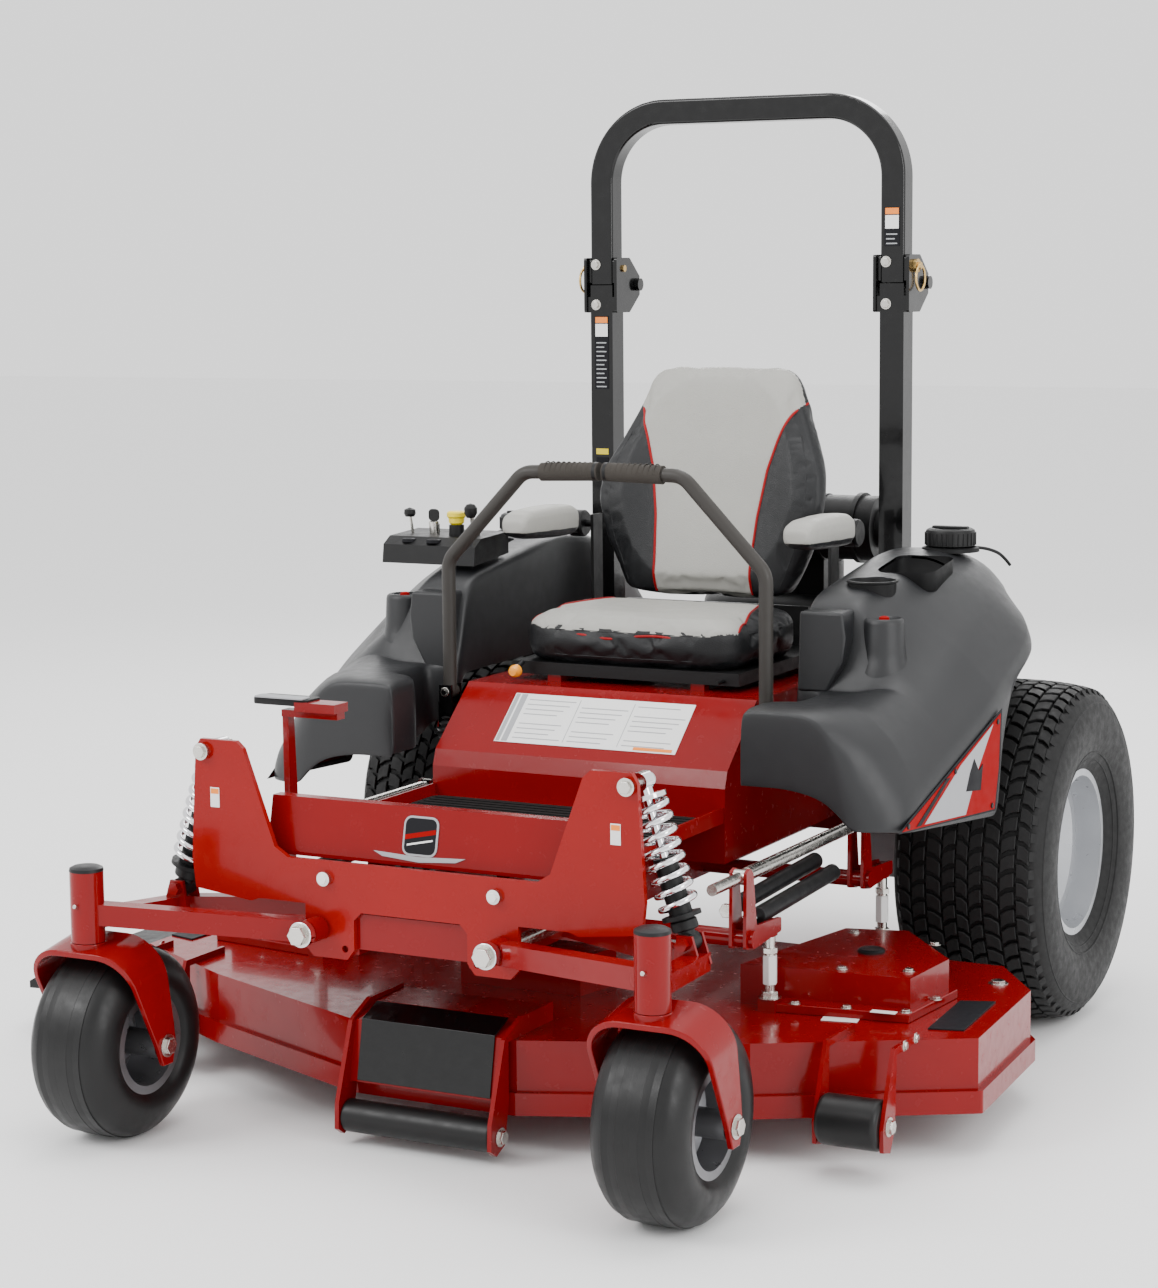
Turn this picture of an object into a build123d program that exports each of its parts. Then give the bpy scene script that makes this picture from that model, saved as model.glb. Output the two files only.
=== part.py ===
"""Zero turn mower: welded frame, sprung front arms with casters, two driven rear wheels, a floating
61 inch cutting deck on a lift linkage, seat, steering levers and a folding roll bar.

Millimetres. X is across the machine (positive to the operator's left), Y runs from front (negative)
to rear with the drive axle at zero, Z is up from the ground. The written parts are moved so that the
middle of the whole machine's box stands on the origin.
"""
import os
from math import atan2, cos, degrees, hypot, radians, sin

from build123d import *

# ---- running fits and gaps ----
FIT = 0.05              # radial clearance of a shaft or pin that turns in its bore
SOFT_GAP = 0.6          # between a soft part and what it rests on
SIDE_GAP = 0.8          # between ears and the eye that turns between them
SHEET = 5.0             # pressed sheet metal

# ---- drive wheels ----
DRIVE_R = 330.0
DRIVE_W = 305.0
TRACK_X = 590.0         # middle of the tyre from the centre plane
DRIVE_BEAD_R = 156.0
DRIVE_BEAD_X = 116.0
DRIVE_WALL = 14.0
HUB_R = 70.0
MOTOR_SHAFT_R = 19.0
LUG_CIRCLE_R = 57.15
LUG_COUNT = 5

# ---- casters ----
CASTER_R = 165.0
CASTER_W = 165.0
CASTER_X = 526.0
CASTER_PIVOT_Y = -1502.0
CASTER_TRAIL = 69.0
CASTER_BEAD_R = 78.0
CASTER_BEAD_X = 66.0
CASTER_WALL = 10.0
CASTER_AXLE_R = 9.5
STEM_R = 12.5
PIVOT_TUBE_R = 28.5
PIVOT_TUBE_LOW = 350.0
PIVOT_TUBE_HIGH = 472.0
FORK_IN = 96.0          # half the opening between the legs
FORK_STRAP = 10.0
FORK_W = 92.0
FORK_CROWN = 172.0      # axle to the underside of the crown

# ---- frame ----
RAIL_X = 125.0
RAIL_W = 40.0
RAIL_LOW = 330.0
RAIL_HIGH = 410.0
PLATE_Y = -1333.0       # front face of the front cross plate
PLATE_T = 10.0
REAR_Y = 586.0
BUMPER_D = 50.0
HITCH_R = 10.0          # hitch pin hole in the rear beam
HITCH_Y = REAR_Y - 30
TIE_R = 6.0             # tie-down holes in the front plate's lobes
TIE_X = 126.0
TIE_Z = 340.0

# ---- front suspension ----
ARM_PIVOT_X = 175.0
ARM_PIVOT_Z = 372.0
ARM_PIN_R = 12.0
ARM_SLEEVE_R = 21.0
ARM_FRONT_Y = -1358.0
ARM_REAR_Y = -1143.0
SLEEVE_LEN = 38.0
SHOCK_Y = -1284.0
SHOCK_TOP = (402.0, 655.0)      # X, Z of the upper bolt
SHOCK_LOW = (484.0, 405.0)      # X, Z of the lower bolt
SHOCK_EYE_R = 16.0
SHOCK_EYE_W = 30.0
SHOCK_BOLT_R = 6.5
SHOCK_OPEN_PLAY = 2.5           # extra radius of the lower eye's hole
SHOCK_ROD_R = 8.0
SHOCK_TUBE_R = 19.0
SPRING_R = 29.0
SPRING_WIRE_R = 5.2
SPRING_TURNS = 8

# ---- body work ----
FOOT_X = 297.0
FOOT_Z = 490.0
FOOT_FRONT_Y = -1282.0
FOOT_FRONT_Z = 580.0
BOX_X = 299.0
BOX_TOP_Z = 685.0
BOX_TOP_Y = -605.0
BOX_SLOPE_Y = -734.0
BOX_SLOPE_Z = 575.0
BOX_FLOOR_Y = -745.0
BOX_REAR_Y = -60.0
BOX_WALL = 4.0
FENDER_IN_X = 354.0
FENDER_OUT_X = 690.0
TANK_OUT_X = 604.0
FENDER_FRONT_Y = -800.0
FENDER_BACK_Y = -346.0
SHELF_Z = 706.0
CUP_R = 42.0
CUP_DEPTH = 90.0
CUP_X = 440.0
CUP_Y = -400.0
TRAY_X = (410.0, 560.0)
TRAY_Y = (-330.0, -190.0)
TRAY_DEPTH = 45.0
STUMP_X = 502.0
STUMP_Y = -499.0
STUMP_R = 38.0
STUMP_TOP = 845.0
CAP_X = 470.0
CAP_Y = -70.0
CAP_R = 50.0
CAP_H = 38.0

# ---- roll bar ----
BAR_X = 319.0
BAR_Y = 25.0
BAR_SIZE = 50.0
BAR_WALL = 5.0
BAR_BEND_R = 140.0
BAR_SPLIT_Z = 1429.0
BAR_TOP_Z = 1800.0
BAR_PIVOT_Y = 86.0
BAR_PLATE_T = 6.0
LOCK_Z = 1462.0
LOCK_R = 7.0
PIVOT_PIN_R = 8.0

# ---- seat ----
CUSHION_X = 247.0
CUSHION_Y = (-560.0, -226.0)
CUSHION_Z = (722.0, 812.0)
BACK_X = 255.0
BACK_TOP_X = 170.0
BACK_LOW_Z = 812.0
BACK_TOP_Z = 1284.0
BACK_THICK = 112.0
BACK_LOW_Y = -218.0
BACK_LEAN = 95.0        # how far back the top stands from the foot
ARMREST_X = (264.0, 332.0)
ARMREST_Y = (-432.0, -190.0)
ARMREST_Z = (925.0, 1000.0)
ARMREST_PIVOT_Y = -150.0
ARMREST_PIVOT_Z = 950.0
ARMREST_PIN_R = 7.0
SEAT_RAIL_X = 150.0
SEAT_RAIL_TOP = 697.0

# ---- steering levers ----
LEVER_X = 327.0
LEVER_Y = -628.0
LEVER_PIVOT_Z = 600.0
LEVER_BASE_X = 16.0     # half the pivot block's width
LEVER_SWING_Z = 668.0
LEVER_BEND_Z = 917.0
LEVER_TOP = (163.0, 1088.0)
LEVER_END_X = 5.0
LEVER_R = 13.0
GRIP_R = 17.0
LEVER_PIN_R = 9.0

# ---- cutting deck ----
DECK_LOW = 75.0
DECK_TOP = 200.0
COVER_TOP = 268.0
RIM_OUT = 9.0
RIM_H = 38.0
SPINDLES = ((510.0, -740.0), (0.0, -850.0), (-510.0, -740.0))
SPINDLE_R = 12.5
BLADE_LEN = 500.0
BLADE_Z = 95.0
ROLLER_Y = -1308.0
ROLLER_Z = 48.0
ROLLER_R = 28.0
ROLLER_X = 142.0
ROLLER_AXLE_R = 8.0
SIDE_ROLLER_X = 690.0
SIDE_ROLLER_Y = -1106.0
SIDE_ROLLER_Z = 90.0
SIDE_ROLLER_R = 42.0
SIDE_ROLLER_LEN = 108.0
CHUTE_HINGE_X = -813.0
CHUTE_HINGE_Z = 172.0
CHUTE_PIN_R = 5.0
CHUTE_END_X = -1090.0
CHUTE_BEND_X = -960.0
CHUTE_Y = (-960.0, -640.0)

# ---- deck lift ----
LIFT_X = 455.0
CRANK_Z = 350.0
CRANK_FRONT_Y = -1017.0
CRANK_REAR_Y = -497.0
CRANK_ARM = 115.0
CRANK_UP = (-5.0, 105.0)        # Y, Z from the shaft to the link's pin
LIFT_SHAFT_R = 15.0
CRANK_GAP = 10.0                # half the space between the two crank plates
CRANK_T = 6.0
CRANK_PLAY = 0.3        # beside the eyes between the crank plates
LINK_R = 12.0
LINK_REACH = 115.0      # how far the link runs on ahead of its front pin
ROD_R = 8.0
PEDAL_X = -352.0
PEDAL_PIVOT = (-1150.0, 520.0)  # Y, Z
PEDAL_PAD_Z = 712.0

# ---- engine ----
ENGINE_Y = 250.0
ENGINE_PLATE_Z = 418.0
SHROUD_R = 185.0
SHROUD_Z = (640.0, 850.0)
SHROUD_STEP = 60.0
SCREEN_R = 110.0
CLEANER_Z = 932.0
CLEANER_Y = 150.0
CLEANER_R = 66.0

CASTER_Y = CASTER_PIVOT_Y + CASTER_TRAIL
DECK_OUTLINE = [(711, -436), (813, -584), (836, -919), (512, -1113), (158, -1262), (-158, -1262),
                (-547, -1100), (-800, -960), (-800, -600), (-690, -436)]
DECK_LEFT_X = max(point[0] for point in DECK_OUTLINE) + RIM_OUT
CENTRE_X = (DECK_LEFT_X + CHUTE_END_X) / 2
CENTRE_Y = (REAR_Y + CASTER_Y - CASTER_R) / 2


# ---------------------------------------------------------------- helpers
def block(x, y, z):
    """Box between low and high values on each axis."""
    size = [high - low for low, high in (x, y, z)]
    middle = [(high + low) / 2 for low, high in (x, y, z)]
    return Pos(*middle) * Box(*size)


def rod(start, end, radius):
    """Round bar between two points."""
    start, end = Vector(*start), Vector(*end)
    plane = Plane(origin=start, z_dir=end - start)
    return extrude(plane * Circle(radius), amount=(end - start).length)


def rod_x(x, y, z, radius):
    """Round bar along X between two X values; rod_y and rod_z are the same along their own axes."""
    return rod((x[0], y, z), (x[1], y, z), radius)


def rod_y(x, y, z, radius):
    return rod((x, y[0], z), (x, y[1], z), radius)


def rod_z(x, y, z, radius):
    return rod((x, y, z[0]), (x, y, z[1]), radius)


def bar(start, end, wide, tall):
    """Square-edged bar between two points, its wide side kept level."""
    start, end = Vector(*start), Vector(*end)
    run = end - start
    level = Vector(0, 0, 1).cross(run)
    plane = Plane(origin=start, x_dir=level, z_dir=run)
    return extrude(plane * Rectangle(wide, tall), amount=run.length)


def across(axis, span):
    """Drawing plane across an axis, at the end of the span that an extrusion starts from."""
    planes = {
        "x": Plane(origin=(span[0], 0, 0), x_dir=(0, 1, 0), z_dir=(1, 0, 0)),
        "y": Plane(origin=(0, span[1], 0), x_dir=(1, 0, 0), z_dir=(0, -1, 0)),
        "z": Plane(origin=(0, 0, span[0]), x_dir=(1, 0, 0), z_dir=(0, 0, 1)),
    }
    return planes[axis]


def slab(plane, outline, thick):
    """Outline extruded from its plane along the plane's own normal, whichever way it was drawn."""
    return extrude(plane * outline, amount=thick, dir=plane.z_dir)


def prism(axis, points, span, corner=0.0):
    """Outline drawn across an axis ("x": Y, Z; "y": X, Z; "z": X, Y) and extruded over its span."""
    outline = Polygon(*points, align=None)
    if corner:
        outline = fillet(outline.vertices(), corner)
    return slab(across(axis, span), outline, span[1] - span[0])


def shell_prism(axis, points, span, wall):
    """Closed hollow prism of an outline, with walls of one thickness all round."""
    inside = (span[0] + wall, span[1] - wall)
    face = offset(Polygon(*points, align=None), amount=-wall, kind=Kind.INTERSECTION)
    return prism(axis, points, span) - slab(across(axis, inside), face, inside[1] - inside[0])


def turned(points, corners=(), radius=0.0):
    """Ring or disc turned about the X axis from an (x, radius) outline."""
    outline = Polygon(*points, align=None)
    if radius:
        chosen = [v for v in outline.vertices() if any(hypot(v.X - x, v.Y - y) < 0.01 for x, y in corners)]
        outline = fillet(chosen, radius)
    return revolve(outline, Axis.X, 360)


def span(side, near, far):
    """Low and high X of a stretch that lies near to far from the centre plane, on one side."""
    return tuple(sorted((side * near, side * far)))


def both(part):
    """The part and its mirror image on the other side."""
    return [part, mirror(part, about=Plane.YZ)]


def write(name, solids):
    """Write one node, moved so that the machine's box is centred over the origin."""
    if not isinstance(solids, list):
        solids = [solids]
    pieces = []
    for item in solids:
        pieces.extend(item.solids())
    shape = pieces[0] if len(pieces) == 1 else Compound(children=pieces)
    export_step(Pos(-CENTRE_X, -CENTRE_Y, 0) * shape, os.path.join("parts", name + ".step"))


def write_sides(name, parts):
    """Write a left-hand part, or a list of its pieces, and the mirror image as two nodes."""
    if not isinstance(parts, list):
        parts = [parts]
    write(name + "_left", parts)
    write(name + "_right", [mirror(part, about=Plane.YZ) for part in parts])


# ---------------------------------------------------------------- wheels
def tyre(radius, width, bead_r, bead_x, wall, crown):
    """Hollow tyre about the X axis, open between its beads."""
    half = width / 2
    side_r = (radius + bead_r) / 2
    lip_r = bead_r + 20
    outer = [(-bead_x, bead_r), (-bead_x, lip_r), (-half, side_r), (-half + crown / 4, radius),
             (half - crown / 4, radius), (half, side_r), (bead_x, lip_r), (bead_x, bead_r)]
    inner = [(-bead_x + wall, bead_r - 1), (-bead_x + wall, lip_r), (-half + wall, side_r),
             (-half + crown / 4 + wall, radius - wall), (half - crown / 4 - wall, radius - wall),
             (half - wall, side_r), (bead_x - wall, lip_r), (bead_x - wall, bead_r - 1)]
    tread_corners = [outer[3], outer[4]]
    return turned(outer, tread_corners, crown) - turned(inner)


def drive_tyre():
    return Pos(TRACK_X, 0, DRIVE_R) * tyre(DRIVE_R, DRIVE_W, DRIVE_BEAD_R, DRIVE_BEAD_X, DRIVE_WALL, 46.0)


def drive_rim():
    """Rim barrel with its dished disc, the hub and shaft it bolts to, and the lug nuts."""
    seat_r = DRIVE_BEAD_R - 0.3
    flange_r = DRIVE_BEAD_R + 16
    edge = DRIVE_BEAD_X + 0.4
    barrel = turned([(-edge - 5, seat_r - 7), (-edge - 5, flange_r), (-edge, flange_r), (-edge, seat_r),
                     (edge, seat_r), (edge, flange_r), (edge + 5, flange_r), (edge + 5, seat_r - 7)])
    disc = turned([(30, 32), (30, 95), (62, 132), (62, seat_r - 6.5), (69, seat_r - 6.5), (69, 129),
                   (37, 91), (37, 32)])
    rim = barrel + disc
    nuts = []
    for index in range(LUG_COUNT):
        turn = Rot(index * 360 / LUG_COUNT, 0, 0)
        hole = turn * rod_x((20, 45), 0, LUG_CIRCLE_R, 6.5)
        rim -= hole
        stud = rod_x((4, 52), 0, LUG_CIRCLE_R, 6.2)
        nut = extrude(Plane.YZ.offset(37) * Pos(0, LUG_CIRCLE_R) * RegularPolygon(10.5, 6), amount=12)
        nuts.append(turn * (stud + nut))
    motor_face = -TRACK_X + 405 + SIDE_GAP
    hub = turned([(motor_face, 0), (motor_face, 30), (10, 30), (10, HUB_R), (29.9, HUB_R), (29.9, 31),
                  (44, 31), (44, 0)])
    hub += rod_x((motor_face - 70, motor_face + 5), 0, 0, MOTOR_SHAFT_R)
    for nut in nuts:
        hub -= nut
    return [Pos(TRACK_X, 0, DRIVE_R) * piece for piece in [rim, hub] + nuts]


def caster_tyre():
    return Pos(CASTER_X, CASTER_Y, CASTER_R) * tyre(CASTER_R, CASTER_W, CASTER_BEAD_R, CASTER_BEAD_X,
                                                    CASTER_WALL, 42.0)


def caster_rim():
    """Small pressed rim on a long hub tube that turns on the axle bolt."""
    seat_r = CASTER_BEAD_R - 0.3
    flange_r = CASTER_BEAD_R + 12
    edge = CASTER_BEAD_X + 0.4
    rim = turned([(-edge - 4, seat_r - 5), (-edge - 4, flange_r), (-edge, flange_r), (-edge, seat_r),
                  (edge, seat_r), (edge, flange_r), (edge + 4, flange_r), (edge + 4, seat_r - 5)])
    web = turned([(-4, 22), (-4, 45), (14, seat_r - 4.5), (22, seat_r - 4.5), (4, 42), (4, 22)])
    tube = turned([(-FORK_IN + SIDE_GAP, CASTER_AXLE_R + FIT), (-FORK_IN + SIDE_GAP, 23),
                   (FORK_IN - SIDE_GAP, 23), (FORK_IN - SIDE_GAP, CASTER_AXLE_R + FIT)])
    return Pos(CASTER_X, CASTER_Y, CASTER_R) * (rim + web + tube)


def caster_fork():
    """Broad strap bent over the tyre and trailing back to the axle, the swivel stem and axle bolt."""
    tilt = degrees(atan2(CASTER_TRAIL, CASTER_R))
    outer_x = FORK_IN + FORK_STRAP
    arch = Pos(0, (FORK_CROWN + FORK_STRAP) / 2 - 20) * Rectangle(2 * outer_x, FORK_CROWN + FORK_STRAP + 40)
    top = [v for v in arch.vertices() if v.Y > 0]
    arch = fillet(top, 58 + FORK_STRAP)
    hollow = Pos(0, FORK_CROWN / 2 - 25) * Rectangle(2 * FORK_IN, FORK_CROWN + 50)
    top = [v for v in hollow.vertices() if v.Y > 0]
    hollow = fillet(top, 58)
    tilted = Plane(origin=(0, FORK_W / 2, 0), x_dir=(1, 0, 0), z_dir=(0, -1, 0))
    strap = extrude(tilted * (arch - hollow), amount=FORK_W)
    half = FORK_W / 2
    leg = prism("x", [(-half, 200), (-half, 112), (-24, -16), (-8, -26), (26, 4), (half, 62), (half, 200)],
                (-outer_x - 1, outer_x + 1))
    strap = Rot(tilt, 0, 0) * (strap & leg)
    hole = rod_x((-outer_x - 1, outer_x + 1), 0, 0, CASTER_AXLE_R)
    strap -= hole
    bolt = rod_x((-outer_x - 6, outer_x + 6), 0, 0, CASTER_AXLE_R)
    for end in (-outer_x - 12, outer_x + 0.05):
        bolt += extrude(Plane.YZ.offset(end) * RegularPolygon(16, 6), amount=12)
    stem_foot = FORK_CROWN * cos(radians(tilt)) + 4
    stem = rod_z(0, -CASTER_TRAIL, (stem_foot, PIVOT_TUBE_HIGH - 12 - CASTER_R), STEM_R)
    collar = rod_z(0, -CASTER_TRAIL, (stem_foot, PIVOT_TUBE_LOW - 4 - CASTER_R), 18)
    return [Pos(CASTER_X, CASTER_Y, CASTER_R) * piece for piece in (strap + stem + collar, bolt)]


# ---------------------------------------------------------------- front suspension
def suspension_arm():
    """Triangular arm from the frame pivots to the caster's pivot tube, with ears for the shock."""
    low = ARM_PIVOT_Z
    tube = rod_z(CASTER_X, CASTER_PIVOT_Y, (PIVOT_TUBE_LOW, PIVOT_TUBE_HIGH), PIVOT_TUBE_R)
    arm = tube
    arm += bar((ARM_PIVOT_X + 15, ARM_FRONT_Y + 1, low), (CASTER_X - 10, CASTER_PIVOT_Y + 4, 398), 34, 36)
    arm += bar((CASTER_X, CASTER_PIVOT_Y + 10, 386), (SHOCK_LOW[0] + 8, SHOCK_Y + 24, 370), 34, 30)
    arm += bar((SHOCK_LOW[0] + 14, SHOCK_Y + 14, 370), (ARM_PIVOT_X + 12, ARM_REAR_Y, low), 30, 30)
    for ear in (SHOCK_Y - SHOCK_EYE_W / 2 - SIDE_GAP - 6, SHOCK_Y + SHOCK_EYE_W / 2 + SIDE_GAP):
        arm += prism("y", [(SHOCK_LOW[0] - 20, 368), (SHOCK_LOW[0] + 30, 368), (SHOCK_LOW[0] + 14, 418),
                           (SHOCK_LOW[0] - 12, 418)], (ear, ear + 6))
    for centre in (ARM_FRONT_Y, ARM_REAR_Y):
        arm += rod_y(ARM_PIVOT_X, (centre - SLEEVE_LEN / 2, centre + SLEEVE_LEN / 2), low, ARM_SLEEVE_R)
    bolt = rod_y(SHOCK_LOW[0], (SHOCK_Y - 34, SHOCK_Y + 34), SHOCK_LOW[1], SHOCK_BOLT_R)
    arm -= bolt
    arm -= rod_z(CASTER_X, CASTER_PIVOT_Y, (300, PIVOT_TUBE_HIGH - 8), STEM_R + FIT)
    for centre in (ARM_FRONT_Y, ARM_REAR_Y):
        arm -= rod_y(ARM_PIVOT_X, (centre - 40, centre + 40), low, ARM_PIN_R + FIT)
    for end in (-34, 22):
        plane = Plane(origin=(SHOCK_LOW[0], SHOCK_Y + end, SHOCK_LOW[1]), x_dir=(1, 0, 0), z_dir=(0, 1, 0))
        bolt += extrude(plane * RegularPolygon(11, 6), amount=12)
    return [arm, bolt]


def shock_point(distance):
    """Point on the shock's line at a distance below its upper bolt."""
    run = (SHOCK_LOW[0] - SHOCK_TOP[0], SHOCK_LOW[1] - SHOCK_TOP[1])
    length = hypot(*run)
    return (SHOCK_TOP[0] + run[0] * distance / length, SHOCK_Y, SHOCK_TOP[1] + run[1] * distance / length)


SHOCK_LEN = hypot(SHOCK_LOW[0] - SHOCK_TOP[0], SHOCK_LOW[1] - SHOCK_TOP[1])
SPRING_START = 30.0
SPRING_END = SHOCK_LEN - 46.0


def eye(centre, hole_r):
    ring = rod_y(centre[0], (SHOCK_Y - SHOCK_EYE_W / 2, SHOCK_Y + SHOCK_EYE_W / 2), centre[2], SHOCK_EYE_R)
    hole = rod_y(centre[0], (SHOCK_Y - SHOCK_EYE_W, SHOCK_Y + SHOCK_EYE_W), centre[2], hole_r)
    return ring, hole


def shock_upper():
    """Upper eye, spring plate and the polished damper rod."""
    ring, hole = eye(shock_point(0), SHOCK_BOLT_R + FIT)
    part = ring + rod(shock_point(10), shock_point(SPRING_START), 14)
    part += rod(shock_point(SPRING_START - 8), shock_point(SPRING_START), SPRING_R + 3)
    part += rod(shock_point(SPRING_START - 4), shock_point(SHOCK_LEN - 90), SHOCK_ROD_R)
    return part - hole


def shock_lower():
    """Damper tube that the rod slides in, lower spring plate, rubber boot and the lower eye."""
    ring, hole = eye(shock_point(SHOCK_LEN), SHOCK_BOLT_R + SHOCK_OPEN_PLAY)
    part = ring + rod(shock_point(125), shock_point(SHOCK_LEN - 30), SHOCK_TUBE_R)
    part += rod(shock_point(SHOCK_LEN - 32), shock_point(SHOCK_LEN - 8), 14)
    part += rod(shock_point(SPRING_END), shock_point(SPRING_END + 7), SPRING_R + 3)
    bore = rod(shock_point(120), shock_point(SHOCK_LEN - 44), SHOCK_ROD_R + FIT)
    return part - hole - bore


def coil_spring():
    """Coil spring between the two spring plates, clear of both by the wire's own seat."""
    height = SPRING_END - SPRING_START - 2 * SPRING_WIRE_R - 1.0
    helix = Helix(pitch=height / SPRING_TURNS, height=height, radius=SPRING_R)
    section = Plane(origin=helix @ 0, z_dir=helix % 0) * Circle(SPRING_WIRE_R)
    coil = sweep(section, path=helix, is_frenet=True)
    start = Vector(*shock_point(SPRING_START + SPRING_WIRE_R + 0.5))
    place = Plane(origin=start, x_dir=(0, 1, 0), z_dir=Vector(*shock_point(SHOCK_LEN)) - start)
    return place * coil


# ---------------------------------------------------------------- frame
def shaft_bores():
    """Holes for the two lift cross shafts through both rails."""
    cuts = []
    for y in (CRANK_FRONT_Y, CRANK_REAR_Y):
        cuts.append(rod_x((-RAIL_X - RAIL_W, RAIL_X + RAIL_W), y, CRANK_Z, LIFT_SHAFT_R + FIT))
    return cuts


def main_frame():
    """Two rails with cross members, arm pivot brackets, motor mounts, roll bar beam and rear bumper."""
    half = RAIL_W / 2
    back = PLATE_Y + PLATE_T
    frame = block((RAIL_X - half, RAIL_X + half), (back, REAR_Y - BUMPER_D), (RAIL_LOW, RAIL_HIGH))
    frame += block((RAIL_X, 302), (-62, 62), (345, 395))
    frame += block((RAIL_X, ARM_PIVOT_X + 32), (ARM_REAR_Y + 24, ARM_REAR_Y + 34), (340, 404))
    frame += block((RAIL_X, 300), (468, 508), (RAIL_LOW, RAIL_HIGH))
    frame += mirror(frame, about=Plane.YZ)
    for y in (back, -620, 280):
        frame += block((-RAIL_X, RAIL_X), (y, y + RAIL_W), (RAIL_LOW + 10, RAIL_HIGH - 10))
    beam = BAR_X + BAR_SIZE / 2
    frame += block((-beam, beam), (BAR_Y - 25, BAR_Y + 25), (RAIL_HIGH, RAIL_HIGH + 60))
    frame += block((-400, 400), (REAR_Y - BUMPER_D, REAR_Y), (350, 400))
    frame += block((-40, 40), (REAR_Y - 58, REAR_Y - 2), (400, 410))
    for side in (-1, 1):
        x = side * 300
        frame += block((x - 20, x + 20), (REAR_Y - 45, REAR_Y - 5), (399, 700))
    frame += block((-320, 320), (REAR_Y - 45, REAR_Y - 5), (700, 740))
    frame -= rod_z(0, HITCH_Y, (340, 420), HITCH_R)
    for cut in shaft_bores():
        frame -= cut
    for side in (-1, 1):
        frame -= rod_y(side * ARM_PIVOT_X, (ARM_REAR_Y, ARM_REAR_Y + 60), ARM_PIVOT_Z, ARM_PIN_R)
    return frame


def front_plate():
    """Cross plate with two shock towers, low lobes for the arm pivots and tie-down holes."""
    half = [(0, 404), (94, 404), (108, 390), (108, 340), (122, 322), (188, 322), (203, 338), (203, 411),
            (295, 411), (312, 405), (424, 418), (430, 470), (418, 660), (408, 676), (336, 676), (322, 664),
            (276, 540), (262, 502), (236, 486), (0, 486)]
    outline = half[:-1] + [(0, 486)]
    side = prism("y", outline, (PLATE_Y, PLATE_Y + PLATE_T))
    plate = side + mirror(side, about=Plane.YZ)
    for flip in (-1, 1):
        plate -= rod_y(flip * ARM_PIVOT_X, (PLATE_Y - 5, PLATE_Y + 20), ARM_PIVOT_Z, ARM_PIN_R)
        plate -= rod_y(flip * SHOCK_TOP[0], (PLATE_Y - 5, PLATE_Y + 20), SHOCK_TOP[1], SHOCK_BOLT_R)
        plate -= rod_y(flip * TIE_X, (PLATE_Y - 5, PLATE_Y + 20), TIE_Z, TIE_R)
        plate -= rod_y(flip * 162, (PLATE_Y - 5, PLATE_Y + 20), 457, 6)
    return plate


def chassis_bolts():
    """Arm pivot pins, upper shock bolts and the two plate bolts."""
    pin = rod_y(ARM_PIVOT_X, (ARM_FRONT_Y - 30, ARM_REAR_Y + 44), ARM_PIVOT_Z, ARM_PIN_R)
    pin += rod_y(ARM_PIVOT_X, (ARM_FRONT_Y - 38, ARM_FRONT_Y - 20.5), ARM_PIVOT_Z, 20)
    shock = rod_y(SHOCK_TOP[0], (PLATE_Y, SHOCK_Y + 26), SHOCK_TOP[1], SHOCK_BOLT_R)
    shock += rod_y(SHOCK_TOP[0], (PLATE_Y - 9, PLATE_Y), SHOCK_TOP[1], 12)
    shock += rod_y(SHOCK_TOP[0], (SHOCK_Y + 17, SHOCK_Y + 26), SHOCK_TOP[1], 12)
    face = rod_y(162, (PLATE_Y, PLATE_Y + PLATE_T), 457, 6)
    face += rod_y(162, (PLATE_Y - 8, PLATE_Y), 457, 11)
    return both(pin) + both(shock) + both(face)


def foot_deck():
    """Floor pan with its raised front panel, side lips, pedal bracket and bearers down to the rails."""
    front_y, front_z, floor_end = FOOT_FRONT_Y, FOOT_FRONT_Z, BOX_FLOOR_Y - 0.5
    front = prism("x", [(front_y - 20, FOOT_Z - 2), (front_y, front_z), (front_y + 24, front_z),
                        (front_y + 24, front_z - 4), (front_y + 4, front_z - 4), (front_y - 16, FOOT_Z - 2)],
                  (-FOOT_X, FOOT_X))
    pan = front + block((-FOOT_X, FOOT_X), (front_y - 20, floor_end), (FOOT_Z - 6, FOOT_Z))
    lip = [(front_y - 18, FOOT_Z - 6), (front_y + 10, front_z - 6), (front_y + 110, FOOT_Z + 22),
           (floor_end, FOOT_Z + 22), (floor_end, FOOT_Z - 6)]
    for side in (-1, 1):
        pan += prism("x", lip, span(side, FOOT_X - 4, FOOT_X))
        for y in (front_y + 42, front_y + 462):
            pan += block(span(side, RAIL_X - 12, RAIL_X + 12), (y, y + 50), (RAIL_HIGH, FOOT_Z - 6))
    pivot_y, pivot_z = PEDAL_PIVOT
    bracket_y = (pivot_y - 22, pivot_y + 22)
    pan += block((PEDAL_X + 12, -FOOT_X + 2), bracket_y, (pivot_z - 24, pivot_z - 14))
    pan += block((PEDAL_X + 12, PEDAL_X + 20), bracket_y, (pivot_z - 24, pivot_z + 22))
    return pan - rod_x((PEDAL_X, PEDAL_X + 40), pivot_y, pivot_z, 10 + FIT)


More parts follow.
